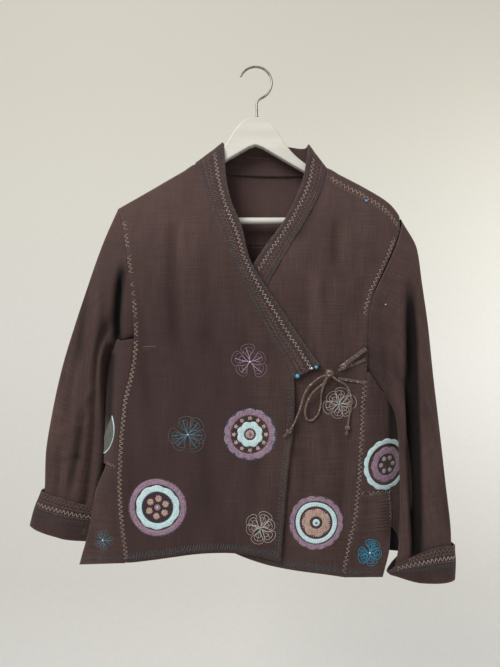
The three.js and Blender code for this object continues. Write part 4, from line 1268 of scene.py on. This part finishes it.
# The cloths that are sewn on, by where they show
ON_FRONT = surface("front_right", "front_left")
ON_BAND = surface("neckband")
ON_RIGHT = surface("front_right", "side_right", "gore_right")
ON_LEFT = surface("front_left", "side_left", "gore_left", "back_yoke")
ON_BACK = surface("back_yoke", "back_lower", "side_right", "side_left")
ON_CUFF = {side: surface(f"cuff_{side}") for side in ("right", "left")}


def down_seam(side, offset, top, bottom, count=40):
    z = np.linspace(top, bottom, count)
    return np.stack([seam_x(side, z) + offset, z], -1)


def flat_route(points):
    return points.reshape(-1, 3)[:, [0, 2]]


SEAM_PITCH, SEAM_SWING = 6.6, 6.8


def sew_seams():
    sew("thread_beige", ON_RIGHT, FRONT, zigzag(down_seam("right", 3.5, -228, -732), SEAM_PITCH, SEAM_SWING))
    sew("thread_beige", ON_LEFT, FRONT, zigzag(down_seam("left", -6.5, -262, -376), 6.6, 5.6))
    sew("thread_beige", ON_LEFT, FRONT, zigzag(down_seam("left", -3, -472, -756), SEAM_PITCH, SEAM_SWING))
    shoulder = np.linspace(112, 212, 20)
    route = np.stack([shoulder, shoulder_z("left", shoulder) - 2], -1)
    sew("thread_beige", ON_LEFT, FRONT, zigzag(route, SEAM_PITCH, SEAM_SWING))
    sew("thread_faint", ON_LEFT, FRONT, zigzag(route - (0, 6), 5, 3))
    for side, offset in (("right", 4), ("left", -4)):
        bottom = -732 if side == "right" else -734
        route = down_seam(side, offset, -262, bottom)
        sew("thread_beige", ON_BACK, BEHIND, zigzag(route, SEAM_PITCH, SEAM_SWING))
    yoke = np.linspace(-178, 196, 40)
    route = np.stack([yoke, yoke * 0 + YOKE_Z - 3], -1)
    sew("thread_beige", ON_BACK, BEHIND, zigzag(route, SEAM_PITCH, SEAM_SWING))
    top = GORE_TOP_Z["right"]
    right_top = [(-204, top + 2), (-214, top + 3), (-223, top + 5)]
    sew("thread_beige", ON_RIGHT, FRONT, zigzag(right_top, 5.6, 4))
    top = GORE_TOP_Z["left"]
    left_top = [(156, top + 2), (180, top + 1), (203, top)]
    sew("thread_beige", ON_LEFT, FRONT, zigzag(left_top, 7, 4.4))
    sew("thread_beige", ON_LEFT, FRONT, zigzag([(200, -645), (202, -668), (203, -690)], 6.5, 4))


def band_route(places, across):
    """A line along the band, without the left end's part that the right end hides."""
    route = flat_route(band_points(places, np.full_like(places, across)))
    if places[0] < BAND_FIRST_LEFT:
        return route
    hidden_until = read(BAND_FRONT_RIGHT, "edge_z", "edge_x", route[:, 1])
    return route[(route[:, 0] > hidden_until + 2.5) | (route[:, 1] > -150)]


# Lines of sewing: thread, place across the band or along the cuff, kind of stitch and its sizes
BAND_LINES = (
    ("thread_grey", 0.05, dashes, 2.7, 3.6, 75), ("thread_cream", 0.34, zigzag, 6.4, 5.6),
    ("thread_faint", 0.6, zigzag, 6.2, 5.2), ("thread_faint", 0.78, dashes, 3.4, 4.6, 48),
    ("thread_blue", 0.93, dashes, 3.2, 4.2, 58), ("thread_blue", 0.14, dashes, 4.2, 2.8, -50),
)
CUFF_LINES = (
    ("thread_faint", 0.1, zigzag, 6.2, 5.6), ("thread_faint", 0.2, dashes, 2.6, 3, 50),
    ("thread_cream", 0.33, zigzag, 6, 6.2), ("thread_faint", 0.42, dashes, 3, 2.6, 30),
    ("thread_deep", 0.52, dashes, 3.2, 3.2, 20), ("thread_deep", 0.57, dashes, 5, 3, -20),
)


def sew_band():
    last = BAND_LAST_RIGHT
    right, left = np.linspace(0, last, 70), np.linspace(BAND_FIRST_LEFT + 0.4, 28, 70)
    back = np.linspace(last + 2, BAND_FIRST_LEFT - 2, 50)
    for places, side in ((right, FRONT), (left, FRONT), (back, BEHIND)):
        for thread, across, stitch, *sizes in BAND_LINES:
            sew(thread, ON_BAND, side, stitch(band_route(places, across), *sizes))
    end = [(58, -467.5), (75, -458.5), (91, -449.5)]
    sew("thread_blue", ON_BAND, FRONT, dashes(end, 3, 3.4, 80))
    sew("thread_cream", ON_BAND, FRONT, dashes([(-13, -128.5), (4, -130), (20, -131)], 5, 1.3, 0))
    sew("thread_faint", ON_FRONT, FRONT, running([(-166, -423.4), (-156, -422.6), (-145, -422.8)], 2.4))


def hem_route(side, rise, start=0.02, end=0.98):
    across = np.linspace(start, end, 60)
    return flat_route(front_points(side, np.ones_like(across), across)) + (0, rise)


def sew_edges():
    z = np.linspace(-484, -728, 40)
    for offset, slant, pitch in ((-4.5, 55, 4.6), (-9, 45, 6)):
        edge = np.stack([centre_x("right", z) + offset, z], -1)
        sew("thread_blue", ON_FRONT, FRONT, dashes(edge, pitch, 4.6, slant))
        sew("thread_deep", ON_FRONT, FRONT, dashes(edge[::3] + (0.8, 0), 11, 3.2, slant))
    for side, cloth in (("right", ON_RIGHT), ("left", ON_LEFT)):
        for rise, pitch in ((7, 3.4), (11.5, 4.4)):
            sew("thread_blue", cloth, FRONT, dashes(hem_route(side, rise), pitch, 5.6, 70))
        sew("thread_deep", cloth, FRONT, dashes(hem_route(side, 9), 9, 4, 65))
        across = np.linspace(0.05, 0.94, 20)
        gore_hem = flat_route(gore_points(side, np.ones_like(across), across)) + (0, 7.5)
        sew("thread_blue", cloth, FRONT, dashes(gore_hem, 3.4, 5.4, 75))
        sew("thread_deep", cloth, FRONT, dashes(gore_hem, 6, 3.6, 60))
    back = np.linspace(-186, 150, 60)
    hem = HEM_BACK_Z + HEM_BOW["back"] * np.sin(math.pi * (back + 191) / 330) + 7
    sew("thread_blue", ON_BACK, BEHIND, dashes(np.stack([back, hem], -1), 3.6, 5.6, 70))


def sew_cuffs():
    for thread, share, stitch, *sizes in CUFF_LINES:
        for cuff in ("right", "left"):
            for side, start, end in ((FRONT, 0.06, 0.44), (BEHIND, 0.56, 0.94)):
                around = np.linspace(start, end, 30)
                points = cuff_points(cuff, np.full_like(around, share), around)
                sew(thread, ON_CUFF[cuff], side, stitch(flat_route(points), *sizes))


# Flowers of looped petals, in thread
PETAL_WIDTH = 0.52
PETAL_LOOPS = (1, 0.82, 0.62)
FLOWERS = (
    ("thread_lilac", "thread_pink", ON_FRONT, (-8.4, -445), 26, 5, 0.5),
    ("thread_slate", "thread_turquoise", ON_FRONT, (-99, -551), 27, 6, 0.9),
    ("thread_cream", "thread_cream", ON_FRONT, (7, -687), 24, 6, 0.3),
    ("thread_cream", "thread_cream", ON_FRONT, (123, -508), 24, 6, 0.25),
    ("thread_slate", "thread_turquoise", ON_RIGHT, (-224, -707), 15, 5, 1.2),
    ("thread_turquoise", "thread_turquoise", ON_LEFT, (169, -728), 20, 6, 0.7),
    ("thread_slate", "thread_turquoise", ON_BACK, (-92, -600), 25, 6, 0.4, BEHIND),
    ("thread_cream", "thread_cream", ON_BACK, (60, -480), 24, 6, 0.8, BEHIND),
)


def flower(loops, stems, cloth, centre, radius, petals, turn, side=FRONT):
    centre = np.array(centre, float)
    t = np.linspace(0, 1, 30)
    for k in range(petals):
        heading = turn + 2 * math.pi * k / petals + SEWN.normal(0, 0.09)
        reach = radius * SEWN.uniform(0.86, 1.06)
        for scale in PETAL_LOOPS:
            r = reach * scale * np.sin(math.pi * t) ** 0.8
            lean = SEWN.normal(0, 0.07)
            bend = heading + lean + PETAL_WIDTH * scale * np.sin(2 * math.pi * t)
            sew(loops, cloth, side, running(centre + np.stack([r * np.cos(bend), r * np.sin(bend)], -1)))
        tip = centre + reach * 0.8 * np.array([math.cos(heading), math.sin(heading)])
        middle = mix(centre, tip, 0.5) + SEWN.normal(0, 0.5, 2)
        sew(stems, cloth, side, running([centre, middle, tip], 2.4))


def make_flowers():
    for plan in FLOWERS:
        flower(*plan)


# Roundels: rings, discs and dots of thin cloth, sewn down round their edges
RING_SHARES = np.array([0, 0.05, 0.2, 0.4, 0.6, 0.8, 0.95, 1])
RING_LIFTS = np.array([-0.3, 0.55, 0.7, 0.75, 0.75, 0.7, 0.55, -0.3])
PATCHES = {}


def ring(colour, cloth, centre, inner, outer, scallops=0, depth=0.0, side=FRONT, below=None):
    count = int(np.clip(outer * 4, 24, 144))
    turns = 2 * math.pi * np.arange(count) / count
    wave = 1 + depth * (np.abs(np.sin(scallops * turns / 2)) - 0.6) + 0.012 * np.sin(3 * turns + centre[0])
    radii = inner + (outer * wave[:, None] - inner) * RING_SHARES
    x, z = centre[0] + radii * np.cos(turns)[:, None], centre[1] + radii * np.sin(turns)[:, None]
    places, normals = land(cloth, side, x, z)
    ok = ~np.isnan(places).any(2)
    if below is not None:
        ok &= z < below[1] + below[2] * (x - below[0])
    points = places + normals * RING_LIFTS[None, :, None]
    number = np.arange(points.shape[0] * points.shape[1]).reshape(points.shape[:2])
    nxt, good = np.roll(number, -1, 0), np.roll(ok, -1, 0)
    faces = side_quads(number, nxt)
    faces = faces[ok[:, :-1] & ok[:, 1:] & good[:, :-1] & good[:, 1:]]
    faces = faces[np.ptp(points.reshape(-1, 3)[faces][..., 1], axis=-1) < 12]
    used = np.unique(faces)
    faces = np.searchsorted(used, faces)
    PATCHES.setdefault(colour, []).append((points.reshape(-1, 3)[used], faces, NO_TRIANGLES))


def edging(thread, cloth, centre, radius, pitch, length, side=FRONT):
    count = int(2 * math.pi * radius / pitch)
    turns = 2 * math.pi * (np.arange(count) + SEWN.uniform(-0.2, 0.2, count)) / count
    heading = np.stack([np.cos(turns), np.sin(turns)], -1)
    half = length / 2 * SEWN.uniform(0.7, 1.25, (count, 1))
    stitches = [centre + heading * (radius - half), centre + heading * (radius + half)]
    sew(thread, cloth, side, np.stack(stitches, 1))


def dots(looks, cloth, centre, radius, count, size, turn=0.0):
    colour, thread = looks
    for k in range(count):
        angle = turn + 2 * math.pi * k / count
        place = (centre[0] + radius * math.cos(angle), centre[1] + radius * math.sin(angle))
        ring(colour, cloth, place, 0.02, size)
        edging(thread, cloth, place, size - 0.3, 2.6, 2.4)


# Each roundel's cloth and centre, then its parts in the order of sewing
ROUNDELS = (
    (ON_FRONT, (-8.4, -551), (
        (ring, "cloth_mauve", 28, 37, 14, 0.07), (edging, "thread_turquoise", 36.5, 3.2, 3.6),
        (edging, "thread_lilac", 28, 3, 2.6), (dots, ("cloth_beige", "thread_pink"), 23.4, 12, 2.6),
        (ring, "cloth_aqua", 8.5, 18.5, 8, 0.13), (edging, "thread_slate", 18.4, 3, 3),
        (ring, "cloth_beige", 0.02, 6), (edging, "thread_pink", 5.8, 2.4, 2.8),
    )),
    (ON_RIGHT, (-143, -657), (
        (ring, "cloth_mauve", 33.5, 41.5), (edging, "thread_lilac", 41, 2.4, 4),
        (ring, "cloth_aqua", 23, 32, 10, 0.05), (edging, "thread_slate", 31.4, 3.4, 3),
        (edging, "thread_turquoise", 23, 3.4, 2.6), (dots, ("cloth_beige", "thread_pink"), 13, 6, 4.4, 0.4),
        (ring, "cloth_mauve", 0.02, 4.6),
    )),
    (ON_LEFT, (89, -682), (
        (ring, "cloth_mauve", 32, 39, 16, 0.06), (edging, "thread_lilac", 38.4, 2.6, 3.6),
        (ring, "cloth_aqua", 24, 30.5), (edging, "thread_slate", 30.4, 3.2, 2.8),
        (ring, "cloth_beige", 9, 20, 7, 0.16), (edging, "thread_pink", 19.6, 2.8, 3),
        (ring, "cloth_aqua", 0.02, 5.4),
    )),
    (ON_LEFT, (197, -600), (
        (ring, "cloth_aqua", 31, 38, 14, 0.05), (edging, "thread_slate", 37.6, 3.2, 3.2),
        (ring, "cloth_mauve", 16, 26, 9, 0.09), (edging, "thread_lilac", 25.6, 2.8, 3),
        (dots, ("cloth_beige", "thread_turquoise"), 10.4, 6, 3.2),
    )),
)
ROUND_SIDE, UNDER_SLEEVE = (-252, -546), (-211, -523, 1.9)


def make_roundels():
    # Painted shade: this patch's grey-green stands for a pale patch in shade, cut along a slant under the
    # sleeve.
    for inner, outer in ((20, 26), (26, 32), (32, 36), (36, 40), (40, 44)):
        ring("cloth_patch_painted_shade", ON_RIGHT, ROUND_SIDE, inner, outer, below=UNDER_SLEEVE)
    ring("cloth_aqua", ON_RIGHT, ROUND_SIDE, 44, 45.6, below=UNDER_SLEEVE)
    for cloth, centre, parts in ROUNDELS:
        for make, look, *sizes in parts:
            make(look, cloth, centre, *sizes)


def applique_material(name, colour, shadow):
    n = Nodes(name)
    place = n.place()
    warp = n.noise(n.mapped(place, (900, 900, 160)), detail=3)
    weft = n.noise(n.mapped(place, (160, 160, 900)), detail=3)
    weave = n.math("ADD", warp, weft)
    n.shade(Base_Color=n.blend(n.spread(weave, 0.8, 1.15), shadow, colour), Roughness=0.9)
    n.shade(Normal=n.bump(weave, 0.0003, 0.9))
    n.shader.inputs["Sheen Weight"].default_value = 0.1
    return n.material


# Beads
BEADS = {}


def ball(colour, cloth, x, z, radius, side=FRONT, flatness=0.8):
    place, normal = land(cloth, side, np.array([x]), np.array([z]))
    assert not np.isnan(place).any(), f"no cloth under the bead at {x}, {z}"
    turn = np.linspace(0.06, math.pi - 0.06, 9)
    path = place[0] + normal[0] * (radius * 0.7 - radius * flatness * np.cos(turn))[:, None]
    BEADS.setdefault(colour, []).append(tube(path, radius * np.sin(turn), 14))


# Flat width and length, area and what each rests on. The widths and lengths weren't measured. The cloth's
# own are 0.216 x 0.496 and 0.236 x 0.53 for the right and left sleeve, and others differ too.
SHEETS = {
    "front_right": ((0.28, 0.6), 0.1185, ["hanger_arms"]),
    "front_left": ((0.28, 0.6), 0.1046, ["hanger_arms"]),
    "back_yoke": ((0.43, 0.13), 0.0449, ["hanger_arms"]),
    "back_lower": ((0.42, 0.48), 0.1658, ["back_yoke_cloth"]),
    "neckband": ((0.035, 1.03), 0.035, ["hanger_arms", "front_right_cloth", "front_left_cloth"]),
    "side_right": ((0.125, 0.33), 0.028, ["front_right_cloth", "back_lower_cloth"]),
    "side_left": ((0.12, 0.29), 0.0287, ["front_left_cloth", "back_lower_cloth"]),
    "gore_right": ((0.07, 0.145), 0.007, ["front_right_cloth"]),
    "gore_left": ((0.078, 0.13), 0.008, ["front_left_cloth"]),
    "sleeve_right": ((0.42, 0.5), 0.0834, ["front_right_cloth", "back_yoke_cloth"]),
    "sleeve_left": ((0.49, 0.53), 0.0903, ["front_left_cloth", "back_yoke_cloth"]),
    "cuff_right": ((0.2, 0.066), 0.0125, ["sleeve_right_cloth"]),
    "cuff_left": ((0.215, 0.055), 0.0092, ["sleeve_left_cloth"]),
}


def declare_sheets(sewn_on):
    carried = {"front_right": sewn_on, "side_left": ["side_left_flap"]}
    for name, (flat, area, rests_on) in SHEETS.items():
        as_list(carried.get(name, []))


BEAD_PLACES = (
    ("bead_turquoise", ON_BAND, 60.5, -465.5, 3.1), ("bead_turquoise", ON_BAND, 88, -452.5, 2.5),
    ("bead_silver", ON_BAND, 81.5, -454.5, 1.9), ("bead_plum", ON_BAND, 65.5, -461.5, 1.6),
    ("bead_turquoise", ON_LEFT, 165, -206, 2), ("bead_silver", surface("sleeve_left"), 192, -361, 1.1),
    ("bead_silver", ON_FRONT, -8.4, -445, 1.5), ("bead_turquoise", ON_FRONT, 7, -687, 1.7),
    ("bead_turquoise", ON_FRONT, 123, -508, 1.7), ("bead_silver", ON_FRONT, -99, -551, 1.3),
    ("bead_silver", ON_RIGHT, -224, -707, 1.4), ("bead_silver", ON_LEFT, 169, -728, 1.5),
    ("bead_plum", ON_FRONT, -8.4, -551, 1.7), ("bead_silver", ON_RIGHT, -143, -657, 1.6),
    ("bead_plum", ON_LEFT, 89, -682, 1.6),
)


def make_beads():
    for place in BEAD_PLACES:
        ball(*place)


def bead_material(name, colour, metallic=0.0):
    n = Nodes(name)
    n.shade(Base_Color=colour, Roughness=0.22, Metallic=metallic)
    return n.material


THREAD_LOOKS = {
    "thread_cream": (0.29, (208, 198, 190), (160, 148, 140)),
    "thread_beige": (0.29, (200, 177, 166), (144, 123, 114)),
    "thread_faint": (0.34, (128, 110, 100), (92, 78, 71)),
    "thread_grey": (0.36, (112, 106, 102), (78, 72, 68)),
    "thread_blue": (0.4, (86, 97, 102), (60, 67, 71)),
    "thread_deep": (0.36, (62, 84, 90), (46, 58, 62)),
    "thread_slate": (0.26, (112, 124, 128), (78, 92, 98)),
    "thread_turquoise": (0.4, (48, 160, 194), (26, 112, 144)),
    "thread_lilac": (0.28, (172, 142, 164), (128, 102, 120)),
    "thread_pink": (0.38, (224, 192, 216), (182, 146, 172)),
}
PATCH_LOOKS = {
    "cloth_aqua": ((205, 228, 230), (168, 196, 200)),
    "cloth_mauve": ((156, 130, 146), (116, 92, 108)),
    "cloth_beige": ((186, 160, 146), (142, 118, 106)),
    # The grey-green patch colour below is painted shade.
    "cloth_patch_painted_shade": ((100, 102, 94), (74, 76, 70)),
}
BEAD_LOOKS = {
    "bead_turquoise": ((70, 165, 190), 0.0), "bead_silver": ((225, 225, 228), 0.6),
    "bead_plum": ((110, 60, 110), 0.0),
}


def make_sewing():
    sew_seams()
    sew_band()
    sew_edges()
    sew_cuffs()
    make_flowers()
    make_roundels()
    make_beads()
    for name, (radius, colour, shadow) in THREAD_LOOKS.items():
        make_thread(name, radius, thread_material(name, linear(*colour), linear(*shadow)))
    for name, (colour, shadow) in PATCH_LOOKS.items():
        material = applique_material(name, linear(*colour), linear(*shadow))
        finish_piece(joined(name, PATCHES[name], material), "cloth")
    for name, (colour, metallic) in BEAD_LOOKS.items():
        finish_piece(joined(name, BEADS[name], bead_material(name, linear(*colour), metallic)), "cloth")


make_sewing()
declare_sheets([*PATCH_LOOKS, *BEAD_LOOKS])


# Ties, near the places of their solids: strap, strip and ribbon are drawn from 9 to 12 mm off the knot
KNOT_PLACE, KNOT_RADIUS = (107, -32.3, -462), 6.5
KNOT_SEAT = 6.95
CORD_WIDTH = 3.0
TIE_STRAP = [(123, -35, -453), (140, -31, -441), (161, -28, -426.5)]
TIE_RIBBON = [(121, -26.4, -458), (142, -25.9, -450), (161, -25.9, -442)]
TIE_STRIP = [(121, -27, -470), (142, -26.1, -473), (160, -25.9, -476)]
TAIL_RIGHT = [
    (94, -33.5, -467), (86, -32, -473), (78.5, -31, -480), (73, -31.2, -488), (69, -32, -497),
    (66, -33.2, -508), (62, -34.4, -519), (58, -34.8, -529), (53.5, -35.4, -538), (50, -36, -543.5),
]
TAIL_LEFT = [
    (117, -37, -471), (125, -33, -475), (132, -29.5, -480), (137.5, -27.6, -489), (139.8, -27.2, -499),
    (139.8, -27.2, -509), (138, -27.2, -519), (136, -28, -529), (134.6, -29.2, -538),
]
LOOP = [
    (100, -29, -478), (96.5, -27.6, -490), (95.5, -27.4, -501), (94.5, -27.3, -512), (90.5, -27.3, -523),
    (84, -27.4, -530), (77, -28.8, -530.5), (73, -30.8, -525), (71.8, -32.4, -516), (73.6, -33, -507),
    (77.2, -33.6, -498), (82, -35, -490), (89, -38, -482.5), (96.5, -40.5, -476),
]
END_RIGHT = [(50, -36, -543.5), (38, -36.4, -555)]
END_LEFT = [(134.6, -29.2, -538), (131.5, -29.4, -555)]


def knot_seat(towards):
    centre = np.array(KNOT_PLACE, float)
    heading = np.array(towards, float) - centre
    return tuple(centre + heading / np.linalg.norm(heading) * KNOT_SEAT)


PLY = (10, 3, 2.2, 0.08)


def braid(path, width, depth, strand, pitch):
    """Three strands plaited along a path that lies on the front's cloth."""
    line = through(path, 0.7)
    ahead = unit(np.gradient(line, axis=0))
    across = unit(np.cross(ahead, (0, -1, 0)))
    out = np.cross(across, ahead)
    out *= np.where(out[:, 1:2] > 0, -1, 1)
    length = running_length(line)
    parts = []
    for k in range(3):
        turn = (2 * math.pi * (length / pitch + k / 3))[:, None]
        winding = line + across * width * np.sin(turn) + out * depth * np.sin(2 * turn)
        parts.append(tube(winding, strand, *PLY))
    return parts


def knot_winding(centre, radius, strand, wraps=(3, 2)):
    turn = np.linspace(0, 2 * math.pi, 140)
    reach = radius - strand
    ring_r, tube_r = reach * 0.62, reach * 0.38
    r = ring_r + tube_r * np.cos(wraps[0] * turn)
    depth = tube_r * np.sin(wraps[0] * turn)
    path = np.stack([r * np.cos(wraps[1] * turn), depth, r * np.sin(wraps[1] * turn)], -1)
    return tube(np.array(centre) + path, strand, *PLY)


def end_knot(start, end, strand):
    start, end = np.array(start, float), np.array(end, float)
    heading = (end - start) / np.linalg.norm(end - start)
    core = tube([start + heading * 0.4, start + heading * 5], 1.4, 8)
    parts = [knot_winding(start + heading * 3.6, 3.8, strand), core]
    side = np.cross(heading, (0, 1, 0))
    for k in range(6):
        spread = (k - 2.5) / 2.5
        tip = start + heading * (15.4 - 2.5 * abs(spread)) + side * spread * 2.4 + SEWN.normal(0, 0.25, 3)
        middle = start + heading * 10 + side * spread * 1.1
        parts.append(tube(through([start + heading * 5.5, middle, tip], 1.2), 0.42, 5))
    return parts


def tie_material(name, colour, shadow, fleck):
    n = Nodes(name)
    place = n.place()
    grain = n.noise(place, 700, 3)
    specks = n.noise(place, 330, 2, 0.6)
    tone = n.blend(n.spread(grain, 0.38, 0.62), shadow, colour)
    tone = n.blend(n.spread(specks, 0.6, 0.66), tone, fleck)
    n.shade(Base_Color=tone, Roughness=0.9, Normal=n.bump(grain, 0.0003, 0.8))
    n.shader.inputs["Sheen Weight"].default_value = 0.2
    return n.material


def ribbon_parts(path, width):
    """A soft folded strip, wider than it is deep."""
    line = through(path, 0.8)
    ahead = unit(np.gradient(line, axis=0))
    across = unit(np.cross(ahead, (0, -1, 0)))
    places = np.linspace(-0.5, 0.5, 9)
    crinkle = 0.25 * undulation(np.arange(len(line))[:, None] * 1.0 + 0 * places, places * 9, 3, 2, 5)
    skins = []
    for sign in (-1, 1):
        lift = sign * 0.45 * np.sqrt(np.clip(1 - (2 * places) ** 2, 0, 1)) + crinkle
        flat = line[:, None] + across[:, None] * (places * width)[None, :, None]
        skins.append(flat + lift[..., None] * (0, 1, 0))
    points = np.concatenate(skins).reshape(-1, 3)
    number = np.arange(len(points)).reshape(2, len(line), len(places))
    faces = []
    for k, flip in ((0, 1), (1, -1)):
        layer = number[k]
        quads = np.stack([layer[:-1, :-1], layer[:-1, 1:], layer[1:, 1:], layer[1:, :-1]], -1).reshape(-1, 4)
        faces.append(quads[:, ::flip])
    return [(points, np.concatenate(faces), NO_TRIANGLES)]


def make_ties():
    flecked = tie_material("tie_braid", linear(112, 92, 82), linear(70, 56, 50), linear(182, 164, 148))
    plain = tie_material("tie_plain", linear(96, 80, 73), linear(64, 51, 47), linear(130, 114, 104))
    cord = tie_material("tie_cord", linear(118, 98, 88), linear(76, 61, 55), linear(168, 148, 134))
    for name, path, *sizes in (
        ("tie_strap", TIE_STRAP, 1.85, 0.55, 1.25, 13), ("tie_strip", TIE_STRIP, 1.5, 0.35, 0.95, 10),
    ):
        finish_piece(joined(f"{name}_braid", braid(path, *sizes), flecked), "tie", name)
    finish_piece(joined("tie_ribbon_cloth", ribbon_parts(TIE_RIBBON, 5), plain), "tie", "tie_ribbon")
    inner = knot_winding(KNOT_PLACE, KNOT_RADIUS - 0.6, 1.5, (5, 3))
    knot = [knot_winding(KNOT_PLACE, KNOT_RADIUS, 1.7), inner]
    finish_piece(joined("tie_knot_wound", knot, flecked), "tie", "tie_knot")
    ends = {}
    for side, line in (("right", END_RIGHT), ("left", END_LEFT)):
        piece = joined(f"tie_end_{side}_knot", end_knot(*line, 1.1), flecked)
        ends[side] = finish_piece(piece, "tie", f"tie_end_{side}")
    for name, points, far, beads in (
        ("tie_tail_right", [knot_seat(TAIL_RIGHT[0])] + TAIL_RIGHT, "knot", [ends["right"]]),
        ("tie_tail_left", [knot_seat(TAIL_LEFT[0])] + TAIL_LEFT, "knot", [ends["left"]]),
        ("tie_loop", [knot_seat(LOOP[0])] + LOOP + [knot_seat(LOOP[-1])], "object", []),
    ):
        path = through(points, 0.9)
        piece = joined(f"{name}_cord", [tube(path, CORD_WIDTH / 2 * 0.94, 12, 2, 1.5, 0.1)], cord)
        finish_piece(piece, "tie", name)
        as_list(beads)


make_ties()


# Stage: a pale wall and floor, soft light
WALL_Y = 1200
FLOOR_Z = -1900
STAGE_REACH = 6000
STAGE_CORNER = 500


def make_stage():
    n = Nodes("pale_wall")
    grain = n.noise(n.place(), 60, 4)
    colour = n.blend(n.spread(grain, 0.3, 0.7), linear(221, 220, 214), linear(224, 223, 218))
    height = n.add("ShaderNodeSeparateXYZ", {0: n.place()}).outputs[2]
    # Painted shade: the wall is darker and warmer towards the top.
    colour = n.blend(n.product(n.spread(height, -0.5, 0.6), 0.7), colour, linear(206, 202, 186))
    n.shade(Base_Color=colour)
    n.shade(Roughness=0.9)
    turns = np.linspace(0, math.pi / 2, 16)
    profile = [(WALL_Y - STAGE_REACH, FLOOR_Z)]
    profile += [
        (WALL_Y - STAGE_CORNER * (1 - math.sin(t)), FLOOR_Z + STAGE_CORNER * (1 - math.cos(t))) for t in turns
    ]
    profile.append((WALL_Y, FLOOR_Z + STAGE_REACH))
    y, z = np.array(profile).T
    x = np.array([-STAGE_REACH, STAGE_REACH])
    points = stack(x[None, :], y[:, None], z[:, None])
    number = np.arange(2 * len(y)).reshape(-1, 2)
    faces = np.stack([number[:-1, 0], number[:-1, 1], number[1:, 1], number[1:, 0]], -1)
    new_object("stage", points.reshape(-1, 3), faces, n.material)


def area_light(name, place, target, size, power, colour):
    data = bpy.data.lights.new(name, "AREA")
    data.shape = "RECTANGLE"
    data.size, data.size_y = (s * MM for s in size)
    data.energy = power
    data.color = colour
    light = bpy.data.objects.new(name, data)
    light.location = Vector(place) * MM
    light.rotation_euler = (Vector(target) - Vector(place)).to_track_quat("-Z", "Y").to_euler()
    bpy.context.scene.collection.objects.link(light)


def make_lights():
    world = bpy.data.worlds.new("room")
    world.use_nodes = True
    world.node_tree.nodes["Background"].inputs[0].default_value = (0.96, 0.97, 1, 1)
    world.node_tree.nodes["Background"].inputs[1].default_value = 0.54
    bpy.context.scene.world = world
    area_light("window", (-1200, -1500, 1100), (0, 0, -450), (1100, 1100), 48, (1, 0.97, 0.94))
    area_light("fill", (1700, 200, -300), (900, 1200, -500), (900, 1600), 12, (1, 0.98, 0.95))
    bpy.context.scene.view_settings.view_transform = "Standard"
    bpy.context.scene.view_settings.look = "None"


make_stage()
make_lights()
